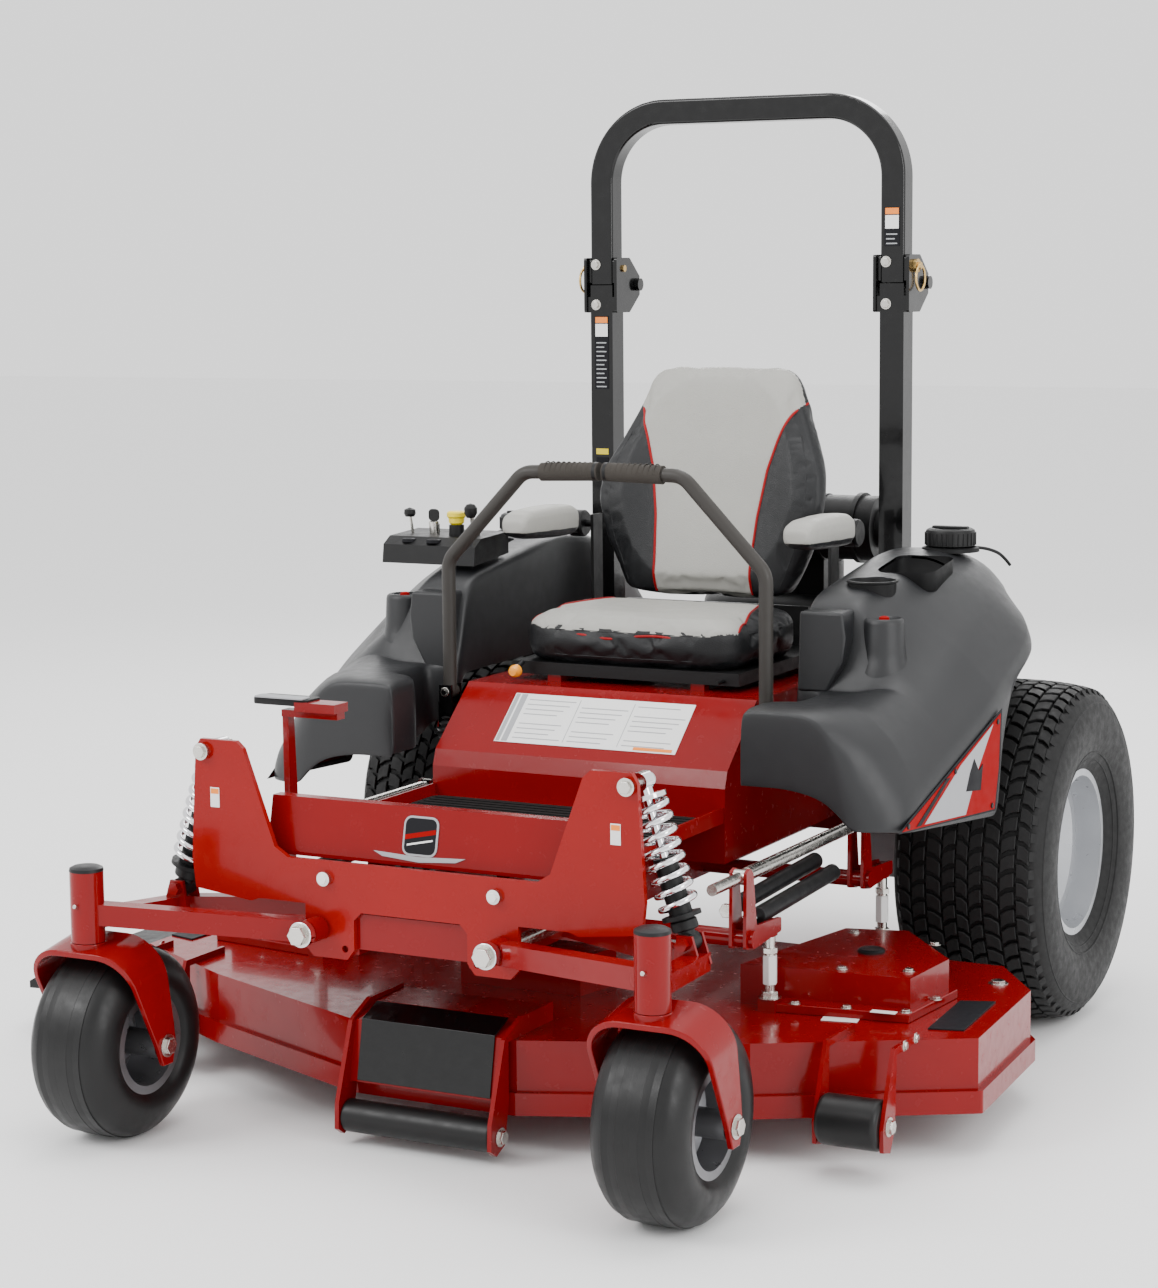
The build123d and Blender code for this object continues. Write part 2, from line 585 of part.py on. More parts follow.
def seat_box():
    """Folded sheet box that carries the seat, open behind, with the slide rails and lever studs."""
    wall = BOX_WALL
    outline = [(BOX_FLOOR_Y, RAIL_HIGH), (BOX_FLOOR_Y, BOX_SLOPE_Z - 30), (BOX_SLOPE_Y, BOX_SLOPE_Z),
               (BOX_TOP_Y, BOX_TOP_Z), (BOX_REAR_Y, BOX_TOP_Z), (BOX_REAR_Y, RAIL_HIGH)]
    inside = [(BOX_FLOOR_Y + wall, RAIL_HIGH - 1), (BOX_FLOOR_Y + wall, BOX_SLOPE_Z - 30),
              (BOX_SLOPE_Y + wall, BOX_SLOPE_Z - wall / 2), (BOX_TOP_Y + wall / 2, BOX_TOP_Z - wall),
              (BOX_REAR_Y + 1, BOX_TOP_Z - wall), (BOX_REAR_Y + 1, RAIL_HIGH - 1)]
    box = prism("x", outline, (-BOX_X, BOX_X)) - prism("x", inside, (-BOX_X + wall, BOX_X - wall))
    parts = [box]
    bracket_in = LEVER_X - LEVER_BASE_X - SIDE_GAP
    bracket = [(LEVER_Y - 34, LEVER_PIVOT_Z - 40), (LEVER_Y + 34, LEVER_PIVOT_Z - 40),
               (LEVER_Y + 26, LEVER_PIVOT_Z + 24), (LEVER_Y - 26, LEVER_PIVOT_Z + 24)]
    for side in (-1, 1):
        parts.append(block(span(side, SEAT_RAIL_X - 14, SEAT_RAIL_X + 14), (-540, -160),
                           (BOX_TOP_Z, SEAT_RAIL_TOP)))
        plate = prism("x", bracket, span(side, BOX_X, bracket_in))
        reach = span(side, bracket_in - 0.2, LEVER_X + LEVER_BASE_X + 2)
        stud = rod_x(reach, LEVER_Y, LEVER_PIVOT_Z, LEVER_PIN_R)
        head = span(side, LEVER_X + LEVER_BASE_X + 1, LEVER_X + LEVER_BASE_X + 6)
        stud += rod_x(head, LEVER_Y, LEVER_PIVOT_Z, LEVER_PIN_R + 4)
        parts.append(plate + stud)
        tab_x, tab_z = span(side, BOX_X, FENDER_IN_X), (BOX_TOP_Z - 45, BOX_TOP_Z - 37)
        parts += [block(tab_x, (y - 20, y + 20), tab_z) for y in (-480, -180)]
    return parts


def fender(with_cup):
    """Moulded fender with its front pod, and the fuel tank behind it with a cup, a tray and a filler.

    Only the left tank has the cup: the switch console stands there on the right one.
    """
    pod = [(FENDER_FRONT_Y, 500), (FENDER_FRONT_Y, 680), (FENDER_FRONT_Y + 26, 703), (-560, SHELF_Z),
           (FENDER_BACK_Y, SHELF_Z), (FENDER_BACK_Y, 470)]
    hollow = [(FENDER_FRONT_Y + SHEET, 460), (FENDER_FRONT_Y + SHEET, 676), (FENDER_FRONT_Y + 28, 698),
              (-560, SHELF_Z - SHEET), (FENDER_BACK_Y - SHEET, SHELF_Z - SHEET), (FENDER_BACK_Y - SHEET, 460)]
    shell = prism("x", pod, (FENDER_IN_X, FENDER_OUT_X))
    shell -= prism("x", hollow, (FENDER_IN_X + SHEET, FENDER_OUT_X - SHEET))
    shell -= block((FENDER_IN_X - 1, LEVER_X + 82), (LEVER_Y - 75, LEVER_Y + 66), (540, SHELF_Z + 1))
    tank = [(-540, SHELF_Z), (-515, 855), (-470, 888), (-200, 915), (-20, 905), (130, 855), (240, 780),
            (310, 705), (290, 682), (-345, 682), (-345, SHELF_Z)]
    body = shell_prism("x", tank, (FENDER_IN_X, TANK_OUT_X), 7)
    cup = rod_z(CUP_X, CUP_Y, (880 - CUP_DEPTH, 940), CUP_R)
    cup_wall = rod_z(CUP_X, CUP_Y, (874 - CUP_DEPTH, 889), CUP_R + 5)
    tray = block(TRAY_X, TRAY_Y, (905 - TRAY_DEPTH, 960))
    tray_wall = block((TRAY_X[0] - 5, TRAY_X[1] + 5), (TRAY_Y[0] - 5, TRAY_Y[1] + 5), (900 - TRAY_DEPTH, 898))
    neck = rod_z(CAP_X, CAP_Y, (890, 918), CAP_R - 16)
    if with_cup:
        body = body + cup_wall - cup
    body = body + tray_wall - tray + neck
    stump = rod_z(STUMP_X, STUMP_Y, (SHELF_Z, STUMP_TOP), STUMP_R)
    body = body + stump - rod_z(CAP_X, CAP_Y, (860, 920), CAP_R - 21)
    return [shell, body]


def rops_posts():
    """Two upright tubes with the fold bracket plates and the pivot pins at their heads."""
    half = BAR_SIZE / 2
    bore = half - BAR_WALL
    post = block((BAR_X - half, BAR_X + half), (BAR_Y - half, BAR_Y + half),
                 (RAIL_HIGH + 60, BAR_SPLIT_Z - 1))
    inner = half + BAR_PLATE_T + SIDE_GAP
    outline = [(BAR_Y - 30, BAR_SPLIT_Z - 57), (BAR_Y + 30, BAR_SPLIT_Z - 57),
               (BAR_PIVOT_Y + 16, BAR_SPLIT_Z - 21), (BAR_PIVOT_Y + 16, BAR_SPLIT_Z + 17),
               (BAR_Y + 30, BAR_SPLIT_Z + 55), (BAR_Y - 30, BAR_SPLIT_Z + 55)]
    for side in (-1, 1):
        x = sorted((BAR_X + side * inner, BAR_X + side * (inner + BAR_PLATE_T)))
        post += prism("x", outline, tuple(x), 5)
    post += block((BAR_X - inner, BAR_X + inner), (BAR_Y - half - 1, BAR_Y + half + 1),
                  (BAR_SPLIT_Z - 55, BAR_SPLIT_Z - 25))
    post -= block((BAR_X - bore, BAR_X + bore), (BAR_Y - bore, BAR_Y + bore),
                  (RAIL_HIGH + 50, BAR_SPLIT_Z + 5))
    lock = rod_x((BAR_X - 60, BAR_X + 60), BAR_Y, LOCK_Z, LOCK_R + FIT)
    pin = rod_x((BAR_X - 44, BAR_X + 44), BAR_PIVOT_Y, BAR_SPLIT_Z, PIVOT_PIN_R)
    for end in (BAR_X - 48, BAR_X + 38.2):
        pin += rod_x((end, end + 9.8), BAR_PIVOT_Y, BAR_SPLIT_Z, PIVOT_PIN_R + 5)
    return both(post - lock - pin) + both(pin)


def lock_seen_from_hoop(turn):
    """Where the lock pin lies in the hoop's own frame once the hoop has folded back by an angle."""
    ahead, above = BAR_Y - BAR_PIVOT_Y, LOCK_Z - BAR_SPLIT_Z
    return (BAR_PIVOT_Y + ahead * cos(turn) - above * sin(turn),
            BAR_SPLIT_Z + ahead * sin(turn) + above * cos(turn))


def rops_hoop():
    """One bent square tube over the operator, with ears to the fold pivots and slots for the lock pins."""
    half = BAR_SIZE / 2
    top = BAR_TOP_Z - half
    foot = BAR_SPLIT_Z + 1
    path = FilletPolyline((-BAR_X, BAR_Y, foot), (-BAR_X, BAR_Y, top), (BAR_X, BAR_Y, top),
                          (BAR_X, BAR_Y, foot), radius=BAR_BEND_R)
    start = Plane(origin=(-BAR_X, BAR_Y, foot), x_dir=(1, 0, 0), z_dir=(0, 0, 1))
    bore = BAR_SIZE - 2 * BAR_WALL
    section = RectangleRounded(BAR_SIZE, BAR_SIZE, 6) - RectangleRounded(bore, bore, 3)
    hoop = sweep(start * section, path=path)
    ear = [(BAR_Y - 22, BAR_SPLIT_Z + 2), (BAR_Y + 27, BAR_SPLIT_Z + 2), (BAR_PIVOT_Y - 12, BAR_SPLIT_Z - 13),
           (BAR_PIVOT_Y + 13, BAR_SPLIT_Z - 13), (BAR_PIVOT_Y + 13, BAR_SPLIT_Z + 13),
           (BAR_Y + 24, LOCK_Z + 18), (BAR_Y - 22, LOCK_Z + 18)]
    track = [lock_seen_from_hoop(step * 0.15) for step in range(7)]
    notch = LOCK_R + 1
    slot = [(y - notch, z) for y, z in track] + [(y + notch, z) for y, z in reversed(track)]
    for middle in (-BAR_X, BAR_X):
        for side in (-1, 1):
            x = sorted((middle + side * (half - 0.5), middle + side * (half + BAR_PLATE_T)))
            hoop += prism("x", ear, tuple(x), 4)
        across_bar = (middle - 60, middle + 60)
        hoop -= rod_x(across_bar, BAR_PIVOT_Y, BAR_SPLIT_Z, PIVOT_PIN_R + FIT)
        hoop -= rod_x(across_bar, BAR_Y, LOCK_Z, notch)
        hoop -= prism("x", slot, across_bar)
    return hoop


def lock_pin():
    """Pull pin through the fold bracket, with its ring."""
    outer = BAR_X + 25 + 2 * BAR_PLATE_T + SIDE_GAP
    pin = rod_x((BAR_X - 42, outer + 14), BAR_Y, LOCK_Z, LOCK_R)
    pin += rod_x((outer + 0.4, outer + 8), BAR_Y, LOCK_Z, 13)
    ring = Pos(outer + 12, BAR_Y, LOCK_Z - 24) * Rot(0, 90, 0) * Torus(24, 2.6)
    return pin + ring


# ---------------------------------------------------------------- seat
def seat_pan():
    """Moulded seat base on two channel shoes, with the back bracket and the slide handle."""
    pan = block((-CUSHION_X + 10, CUSHION_X - 10), (CUSHION_Y[0] + 14, CUSHION_Y[1] + 100),
                (SEAT_RAIL_TOP + SIDE_GAP, CUSHION_Z[0] - SOFT_GAP))
    pan += block((-200, 200), (CUSHION_Y[1] + 92, CUSHION_Y[1] + 100), (SEAT_RAIL_TOP + SIDE_GAP, 800))
    for side in (-1, 1):
        inner = side * (SEAT_RAIL_X + 14 + SIDE_GAP)
        x = sorted((inner, inner + side * 6))
        pan += block(tuple(x), (-520, -180), (BOX_TOP_Z + 2, SEAT_RAIL_TOP + SIDE_GAP + 2))
        arm = sorted((side * (BACK_X + SOFT_GAP), side * (BACK_X + 7)))
        pan += block(span(side, 190, BACK_X + 7), (CUSHION_Y[1] + 92, CUSHION_Y[1] + 100),
                     (740, 790))
        pan += prism("x", [(CUSHION_Y[1] + 60, 740), (CUSHION_Y[1] + 100, 740), (ARMREST_PIVOT_Y + 22, 970),
                           (ARMREST_PIVOT_Y - 18, 970)], tuple(arm))
        pin = span(side, BACK_X + 5, ARMREST_X[1] - 20)
        pan += rod_x(pin, ARMREST_PIVOT_Y, ARMREST_PIVOT_Z, ARMREST_PIN_R)
    handle = rod_y(205, (-575, -545), 706, 4)
    return pan + handle


def seat_cushion():
    return fillet(block((-CUSHION_X, CUSHION_X), CUSHION_Y, CUSHION_Z).edges(), 18)


def seat_back():
    """Leaning back cushion, wider at the shoulders' foot than at its head."""
    outline = [(-BACK_X + 30, BACK_LOW_Z), (BACK_X - 30, BACK_LOW_Z), (BACK_X, 880), (BACK_X, 1060),
               (BACK_TOP_X + 12, 1240), (BACK_TOP_X - 50, BACK_TOP_Z), (-BACK_TOP_X + 50, BACK_TOP_Z),
               (-BACK_TOP_X - 12, 1240), (-BACK_X, 1060), (-BACK_X, 880)]
    slab = prism("y", outline, (BACK_LOW_Y, BACK_LOW_Y + BACK_THICK + BACK_LEAN), 20)
    foot = BACK_LOW_Y
    lean = prism("x", [(foot, BACK_LOW_Z - 5), (foot + BACK_THICK - 30, BACK_LOW_Z - 5),
                       (foot + BACK_THICK, 900), (foot + BACK_THICK + BACK_LEAN, BACK_TOP_Z + 5),
                       (foot + BACK_LEAN + 12, BACK_TOP_Z + 5), (foot + 8, 940)], (-BACK_X - 5, BACK_X + 5))
    return slab & lean


def armrest():
    """Padded rest with a knuckle that folds up about the pin on the seat frame."""
    pad = fillet(block(ARMREST_X, ARMREST_Y, ARMREST_Z).edges(), 14)
    low, high = ARMREST_X
    knuckle = prism("x", [(ARMREST_Y[1] - 30, 934), (ARMREST_PIVOT_Y - 4, 934), (ARMREST_PIVOT_Y + 16, 950),
                          (ARMREST_PIVOT_Y - 4, 966), (ARMREST_Y[1] - 30, 975)], (low + 2, high - 24))
    pin_hole = rod_x((low - 5, high + 5), ARMREST_PIVOT_Y, ARMREST_PIVOT_Z, ARMREST_PIN_R + FIT)
    return pad + knuckle - pin_hole


# ---------------------------------------------------------------- levers
def lever_base():
    """Fore-and-aft pivot block with the ears that the lever folds outward between."""
    base = block((LEVER_X - LEVER_BASE_X, LEVER_X + LEVER_BASE_X), (LEVER_Y - 18, LEVER_Y + 18),
                 (LEVER_PIVOT_Z - 22, LEVER_SWING_Z - 20))
    for side in (-1, 1):
        y = sorted((LEVER_Y + side * (LEVER_R + SIDE_GAP), LEVER_Y + side * (LEVER_R + SIDE_GAP + 6)))
        base += block((LEVER_X - 13, LEVER_X + 13), tuple(y), (LEVER_SWING_Z - 40, LEVER_SWING_Z + 13))
    base -= rod_x((LEVER_X - 30, LEVER_X + 30), LEVER_Y, LEVER_PIVOT_Z, LEVER_PIN_R + FIT)
    pin = rod_y(LEVER_X, (LEVER_Y - 26, LEVER_Y + 26), LEVER_SWING_Z, 5)
    return [base - pin, pin]


def lever_points():
    return [(LEVER_X, LEVER_Y, LEVER_SWING_Z - 4), (LEVER_X, LEVER_Y, LEVER_BEND_Z),
            (LEVER_TOP[0], LEVER_Y, LEVER_TOP[1]), (LEVER_END_X + 4, LEVER_Y, LEVER_TOP[1] + 4)]


def lever_tube():
    """Bent steering lever, from its fold pin up and in to the hand grip."""
    path = FilletPolyline(*lever_points(), radius=45)
    tube = sweep(Plane(origin=path @ 0, z_dir=path % 0) * Circle(LEVER_R), path=path)
    foot = rod_y(LEVER_X, (LEVER_Y - LEVER_R, LEVER_Y + LEVER_R), LEVER_SWING_Z, LEVER_R)
    hole = rod_y(LEVER_X, (LEVER_Y - 30, LEVER_Y + 30), LEVER_SWING_Z, 5 + FIT)
    return tube + foot - hole


def lever_grip(tube):
    """Foam sleeve over the level end of the lever."""
    start, end = lever_points()[2], lever_points()[3]
    inner = 0.25
    begin = tuple(a + (b - a) * inner for a, b in zip(start, end))
    close = (LEVER_END_X, LEVER_Y, LEVER_TOP[1] + 4.2)
    bore = rod(start, (LEVER_END_X + 3.9, LEVER_Y, LEVER_TOP[1] + 4.1), LEVER_R + 0.1)
    return rod(begin, close, GRIP_R) - bore - tube


# ---------------------------------------------------------------- cutting deck
def deck_outline(amount):
    return offset(Polygon(*DECK_OUTLINE, align=None), amount=amount)


def deck_shell():
    """Deep pressed shell with a rolled lower rim, open below and at the discharge side."""
    level = Plane.XY.offset(DECK_LOW)
    shell = slab(level, deck_outline(0), DECK_TOP - DECK_LOW)
    shell += slab(level, deck_outline(RIM_OUT), RIM_H)
    shell -= slab(level.offset(-1), deck_outline(-SHEET), DECK_TOP - DECK_LOW - SHEET + 1)
    shell -= block((-830, -780), (CHUTE_Y[0] + 20, CHUTE_Y[1] - 20), (DECK_LOW - 2, 150))
    for x, y in SPINDLES:
        shell -= rod_z(x, y, (DECK_TOP - 20, DECK_TOP + 20), 34)
    low, high = CHUTE_Y
    hinge = rod_y(CHUTE_HINGE_X, (low, high), CHUTE_HINGE_Z, CHUTE_PIN_R)
    for y in (low + 28, high - 44):
        hinge += rod_y(CHUTE_HINGE_X, (y, y + 16), CHUTE_HINGE_Z, 7)
        hinge += block((CHUTE_HINGE_X, DECK_OUTLINE[-2][0] + 2), (y, y + 16),
                       (CHUTE_HINGE_Z - 7, CHUTE_HINGE_Z + 5))
    return shell + hinge


def spindle_housing(x, y):
    house = rod_z(x, y, (DECK_TOP, DECK_TOP + 12), 62) + rod_z(x, y, (DECK_TOP - 45, DECK_TOP + 24), 33.9)
    return house - rod_z(x, y, (100, 260), SPINDLE_R + FIT)


def blade_spindle(x, y, turn):
    """Spindle shaft with its pulley above the deck and the cutting blade below."""
    shaft = rod_z(x, y, (BLADE_Z - 12, COVER_TOP - 14), SPINDLE_R)
    pulley = rod_z(x, y, (DECK_TOP + 25, DECK_TOP + 45), 68) - rod_z(x, y, (200, 260), SPINDLE_R)
    spacer = rod_z(x, y, (BLADE_Z + 6, DECK_TOP - 46), 22) - rod_z(x, y, (80, 200), SPINDLE_R)
    half = BLADE_LEN / 2
    outline = [(-half, -28), (half - 60, -28), (half, -20), (half, 28), (-half + 60, 28), (-half, 20)]
    blade = prism("z", outline, (BLADE_Z, BLADE_Z + 6))
    blade = Pos(x, y, 0) * Rot(0, 0, turn) * blade - rod_z(x, y, (50, 120), SPINDLE_R)
    return [shaft, pulley, spacer, blade]


def belt_cover(points):
    """Open-bottomed sheet cover over a pulley."""
    outer = prism("z", points, (DECK_TOP, COVER_TOP))
    face = offset(Polygon(*points, align=None), amount=-3)
    inner = slab(Plane.XY.offset(DECK_TOP - 1), face, COVER_TOP - DECK_TOP - 2)
    return outer - inner


def roller_arms():
    """Two arms that carry the front roller, its axle and the bent cover plate between the arms."""
    foot_y = -1120
    over_y, over_z = -1213, DECK_TOP + 18
    edge_y = DECK_OUTLINE[4][1] - RIM_OUT - 2
    arm = [(foot_y, DECK_TOP), (foot_y, DECK_TOP + 32), (over_y - 15, DECK_TOP + 32),
           (edge_y - 15, DECK_TOP + 6), (ROLLER_Y - 28, 74), (ROLLER_Y - 30, 30), (ROLLER_Y - 12, 18),
           (ROLLER_Y + 16, 30), (edge_y - 3, 100), (edge_y - 3, DECK_TOP)]
    inner = ROLLER_X + SIDE_GAP
    parts = []
    for x in ((inner, inner + 8), (-inner - 8, -inner)):
        parts.append(prism("x", arm, x) - rod_x((x[0] - 2, x[1] + 2), ROLLER_Y, ROLLER_Z, ROLLER_AXLE_R))
    parts.append(rod_x((-inner - 14, inner + 14), ROLLER_Y, ROLLER_Z, ROLLER_AXLE_R))
    level = [(foot_y - 2, over_z + 8), (over_y - 2, over_z + 6), (over_y, over_z), (foot_y - 2, over_z)]
    bend = (edge_y, DECK_TOP + 1)
    sloped = [(over_y - 2, over_z + 6), (edge_y - 5, DECK_TOP + 6), bend, (over_y, over_z)]
    drop = [(edge_y - 5, DECK_TOP + 6), (ROLLER_Y + 10, 104), (ROLLER_Y + 16, 102), bend]
    parts += [prism("x", outline, (-inner, inner)) for outline in (level, sloped, drop)]
    return parts


def deck_covers():
    """Belt covers, spindle housings, roller arms, hanger rods and the side roller brackets."""
    side = [(388, -876), (450, -548), (560, -520), (700, -690), (690, -850)]
    centre = [(-120, -960), (120, -960), (140, -860), (100, -760), (-100, -760), (-140, -860)]
    parts = both(belt_cover(side)) + [belt_cover(centre)]
    parts += [spindle_housing(x, y) for x, y in SPINDLES]
    parts += roller_arms()
    parts += both(lift_hanger())
    parts += side_roller_bracket(1) + side_roller_bracket(-1)
    return parts


def lift_hanger():
    """Both hanger rods of one side, their deck brackets and the eyes that meet the cranks."""
    foot = DECK_TOP + 16
    eye = CRANK_GAP - CRANK_PLAY
    rods = [crank + CRANK_ARM for crank in (CRANK_FRONT_Y, CRANK_REAR_Y)]
    hanger = block((LIFT_X - 16, LIFT_X + 16), (-470, rods[1] + 16), (DECK_TOP, DECK_TOP + 14))
    hanger += block((LIFT_X - 16, LIFT_X + 16), (rods[0] - 16, rods[0] + 16), (DECK_TOP, DECK_TOP + 2))
    for y in rods:
        hanger += rod_z(LIFT_X, y, (foot, CRANK_Z - 14), ROD_R)
        hanger += block((LIFT_X - eye, LIFT_X + eye), (y - 10, y + 10), (CRANK_Z - 20, CRANK_Z + 9))
        hanger += block((LIFT_X - 16, LIFT_X + 16), (y - 16, y + 16), (foot - 16, foot + 6))
    return hanger


def side_roller_bracket(side):
    """Forked bracket ahead of the deck corner with the roller's axle bolt."""
    x = SIDE_ROLLER_X * side
    half = SIDE_ROLLER_LEN / 2 + SIDE_GAP
    parts = []
    plate = [(-960, DECK_TOP), (-960, DECK_TOP + 12), (-1082, DECK_TOP + 12), (SIDE_ROLLER_Y - 24, 90),
             (SIDE_ROLLER_Y - 22, 52), (SIDE_ROLLER_Y + 8, 44), (SIDE_ROLLER_Y + 28, 80), (-1072, DECK_TOP)]
    for start in (x - half - 7, x + half):
        parts.append(prism("x", plate, (start, start + 7))
                     - rod_x((start - 2, start + 9), SIDE_ROLLER_Y, SIDE_ROLLER_Z, 8))
    parts.append(rod_x((x - half - 12, x + half + 12), SIDE_ROLLER_Y, SIDE_ROLLER_Z, 8))
    return parts


def roller(length, radius, corner):
    part = fillet(rod_x((-length / 2, length / 2), 0, 0, radius).edges(), corner)
    return part - rod_x((-length, length), 0, 0, 8 + FIT)


def deck_chute():
    """Discharge deflector: a sloped rubber-edged plate hinged on the deck's right side."""
    low, high = CHUTE_Y
    edge_x, bend_x, end_x = CHUTE_HINGE_X - 8, CHUTE_BEND_X, CHUTE_END_X
    plate = prism("y", [(edge_x, 166), (edge_x, 180), (bend_x, 168), (end_x, 96), (end_x, 86),
                        (bend_x - 2, 158)], (low, high))
    cheek = [(edge_x, 168), (bend_x, 160), (end_x, 88), (end_x, 82), (bend_x, 88), (edge_x - 4, 84)]
    for y in ((low, low + 5), (high - 5, high)):
        plate += prism("y", cheek, y)
    knuckle = None
    for y in (low + 2, high - 26):
        piece = rod_y(CHUTE_HINGE_X, (y, y + 24), CHUTE_HINGE_Z, 9)
        piece += block((CHUTE_HINGE_X - 12, CHUTE_HINGE_X), (y, y + 24), (166, 178))
        knuckle = piece if knuckle is None else knuckle + piece
    bore = rod_y(CHUTE_HINGE_X, (low - 5, high + 5), CHUTE_HINGE_Z, CHUTE_PIN_R + FIT)
    return plate + knuckle - bore


# ---------------------------------------------------------------- deck lift
def crank_plates(y):
    """Cross shaft with a pair of bell-crank plates at each end."""
    shaft = rod_x((-LIFT_X - 24, LIFT_X + 24), y, CRANK_Z, LIFT_SHAFT_R)
    parts = shaft
    up_y, up_z = y + CRANK_UP[0], CRANK_Z + CRANK_UP[1]
    outline = [(y - 20, CRANK_Z - 14), (y + 14, CRANK_Z - 20), (y + CRANK_ARM + 12, CRANK_Z - 12),
               (y + CRANK_ARM + 12, CRANK_Z + 12), (y + 24, CRANK_Z + 18), (up_y + 16, up_z + 4),
               (up_y + 4, up_z + 15), (up_y - 12, up_z + 10)]
    for side in (-1, 1):
        for start in (-CRANK_GAP - CRANK_T, CRANK_GAP):
            x = sorted((side * (LIFT_X + start), side * (LIFT_X + start + CRANK_T)))
            parts += prism("x", outline, tuple(x), 5)
    return parts


def lift_links():
    """Polished links that turn the rear cranks with the front ones, one each side."""
    up_y, up_z = CRANK_FRONT_Y + CRANK_UP[0], CRANK_Z + CRANK_UP[1]
    rear_y = CRANK_REAR_Y + CRANK_UP[0]
    link = rod_y(LIFT_X, (up_y + 24, rear_y - 24), up_z, LINK_R)
    link += rod_y(LIFT_X, (up_y - LINK_REACH, rear_y), up_z, CRANK_GAP - CRANK_PLAY)
    for y in (up_y, rear_y):
        link += rod_x((LIFT_X - CRANK_GAP + CRANK_PLAY, LIFT_X + CRANK_GAP - CRANK_PLAY), y, up_z, 13)
    return both(link)


def lift_pedal():
    """Foot pedal that raises the deck, on a pin in the foot deck's bracket."""
    y, z = PEDAL_PIVOT
    under = PEDAL_PAD_Z - 8
    outline = [(y - 12, z - 12), (y + 14, z - 12), (y + 4, under), (y - 14, under)]
    arm = prism("x", outline, (PEDAL_X - 1, PEDAL_X + 11))
    arm += block((PEDAL_X, -238), (y - 18, y + 6), (PEDAL_PAD_Z - 18, PEDAL_PAD_Z - 6))
    arm += block((-318, -236), (y - 30, y + 14), (PEDAL_PAD_Z - 6, PEDAL_PAD_Z + 10))
    return arm + rod_x((PEDAL_X, PEDAL_X + 26), y, z, 10)


# ---------------------------------------------------------------- engine and drives
def engine_block():
    """Crankcase with two finned cylinders in a vee, standing on its base plate."""
    y = ENGINE_Y
    case = block((-130, 130), (y - 120, y + 110), (ENGINE_PLATE_Z, 640))
    plate = block((-215, 215), (y - 160, y + 170), (RAIL_HIGH, ENGINE_PLATE_Z))
    engine = case + plate
    for side in (-1, 1):
        for index in range(6):
            low = 132 + index * 16
            x = sorted((side * low, side * (low + 8)))
            engine += block(tuple(x), (y + 10, y + 130), (520, 640))
        x = sorted((side * 125, side * 226))
        engine += block(tuple(x), (y + 30, y + 110), (540, 620))
    return engine


def engine_shroud():
    """Blower housing over the flywheel, with its raised air screen."""
    low, high = SHROUD_Z
    shroud = rod_z(0, ENGINE_Y, (low, high - SHROUD_STEP), SHROUD_R)
    shroud = fillet(shroud.edges().sort_by(Axis.Z)[-1], 30)
    shroud += rod_z(0, ENGINE_Y, (high - SHROUD_STEP, high), SCREEN_R)
    return shroud


def air_cleaner():
    """Canister air cleaner lying across behind the seat, with its end cap and strap."""
    can = rod_x((60, 240), CLEANER_Y, CLEANER_Z, CLEANER_R)
    can += rod_x((195, 205), CLEANER_Y, CLEANER_Z, CLEANER_R + 6)
    can += rod_x((238, 252), CLEANER_Y, CLEANER_Z, 40)
    foot = block((62, 118), (CLEANER_Y - 8, CLEANER_Y + 40), (SHROUD_Z[1] - SHROUD_STEP, CLEANER_Z - 40))
    screen = rod_z(0, ENGINE_Y, (SHROUD_Z[0], SHROUD_Z[1] + 1), SCREEN_R + 1)
    return can + (foot - screen)


def muffler():
    """Cross-mounted muffler behind the engine with its outlet pipe."""
    can = rod_x((-150, 150), 440, 540, 60)
    foot = block((90, 110), (ENGINE_Y + 150, 445), (ENGINE_PLATE_Z, 500))
    return can + both(foot) + rod_y(100, (440, 520), 540, 18)


def hydraulic_drives():
    """Wheel motor and pump of each side, with the shaft bore for the wheel hub."""
    body = block((302, 404), (-75, 75), (262, 398))
    body += rod_z(350, -60, (398, 440), 40)
    body -= rod_x((300, 420), 0, DRIVE_R, MOTOR_SHAFT_R + FIT)
    return both(body)


def control_panel():
    """Switch console on the right-hand tank with throttle, key and blade knob bosses."""
    x = (-TRAY_X[1] - 10, -FENDER_IN_X - 8)
    panel = prism("x", [(-470, 889), (-465, 925), (-440, 940), (-330, 946), (-330, 903)], x, 0)
    for offset_x, size in ((-400, 11), (-440, 15), (-490, 10)):
        panel += rod_z(offset_x, -400, (930, 962), size)
    return panel


def fuel_cap():
    cap = rod_z(CAP_X, CAP_Y, (921, 921 + CAP_H), CAP_R)
    cap -= rod_z(CAP_X, CAP_Y, (900, 945), CAP_R - 12)
    cap += rod_z(CAP_X, CAP_Y, (900, 950), CAP_R - 21 - FIT)
    return cap


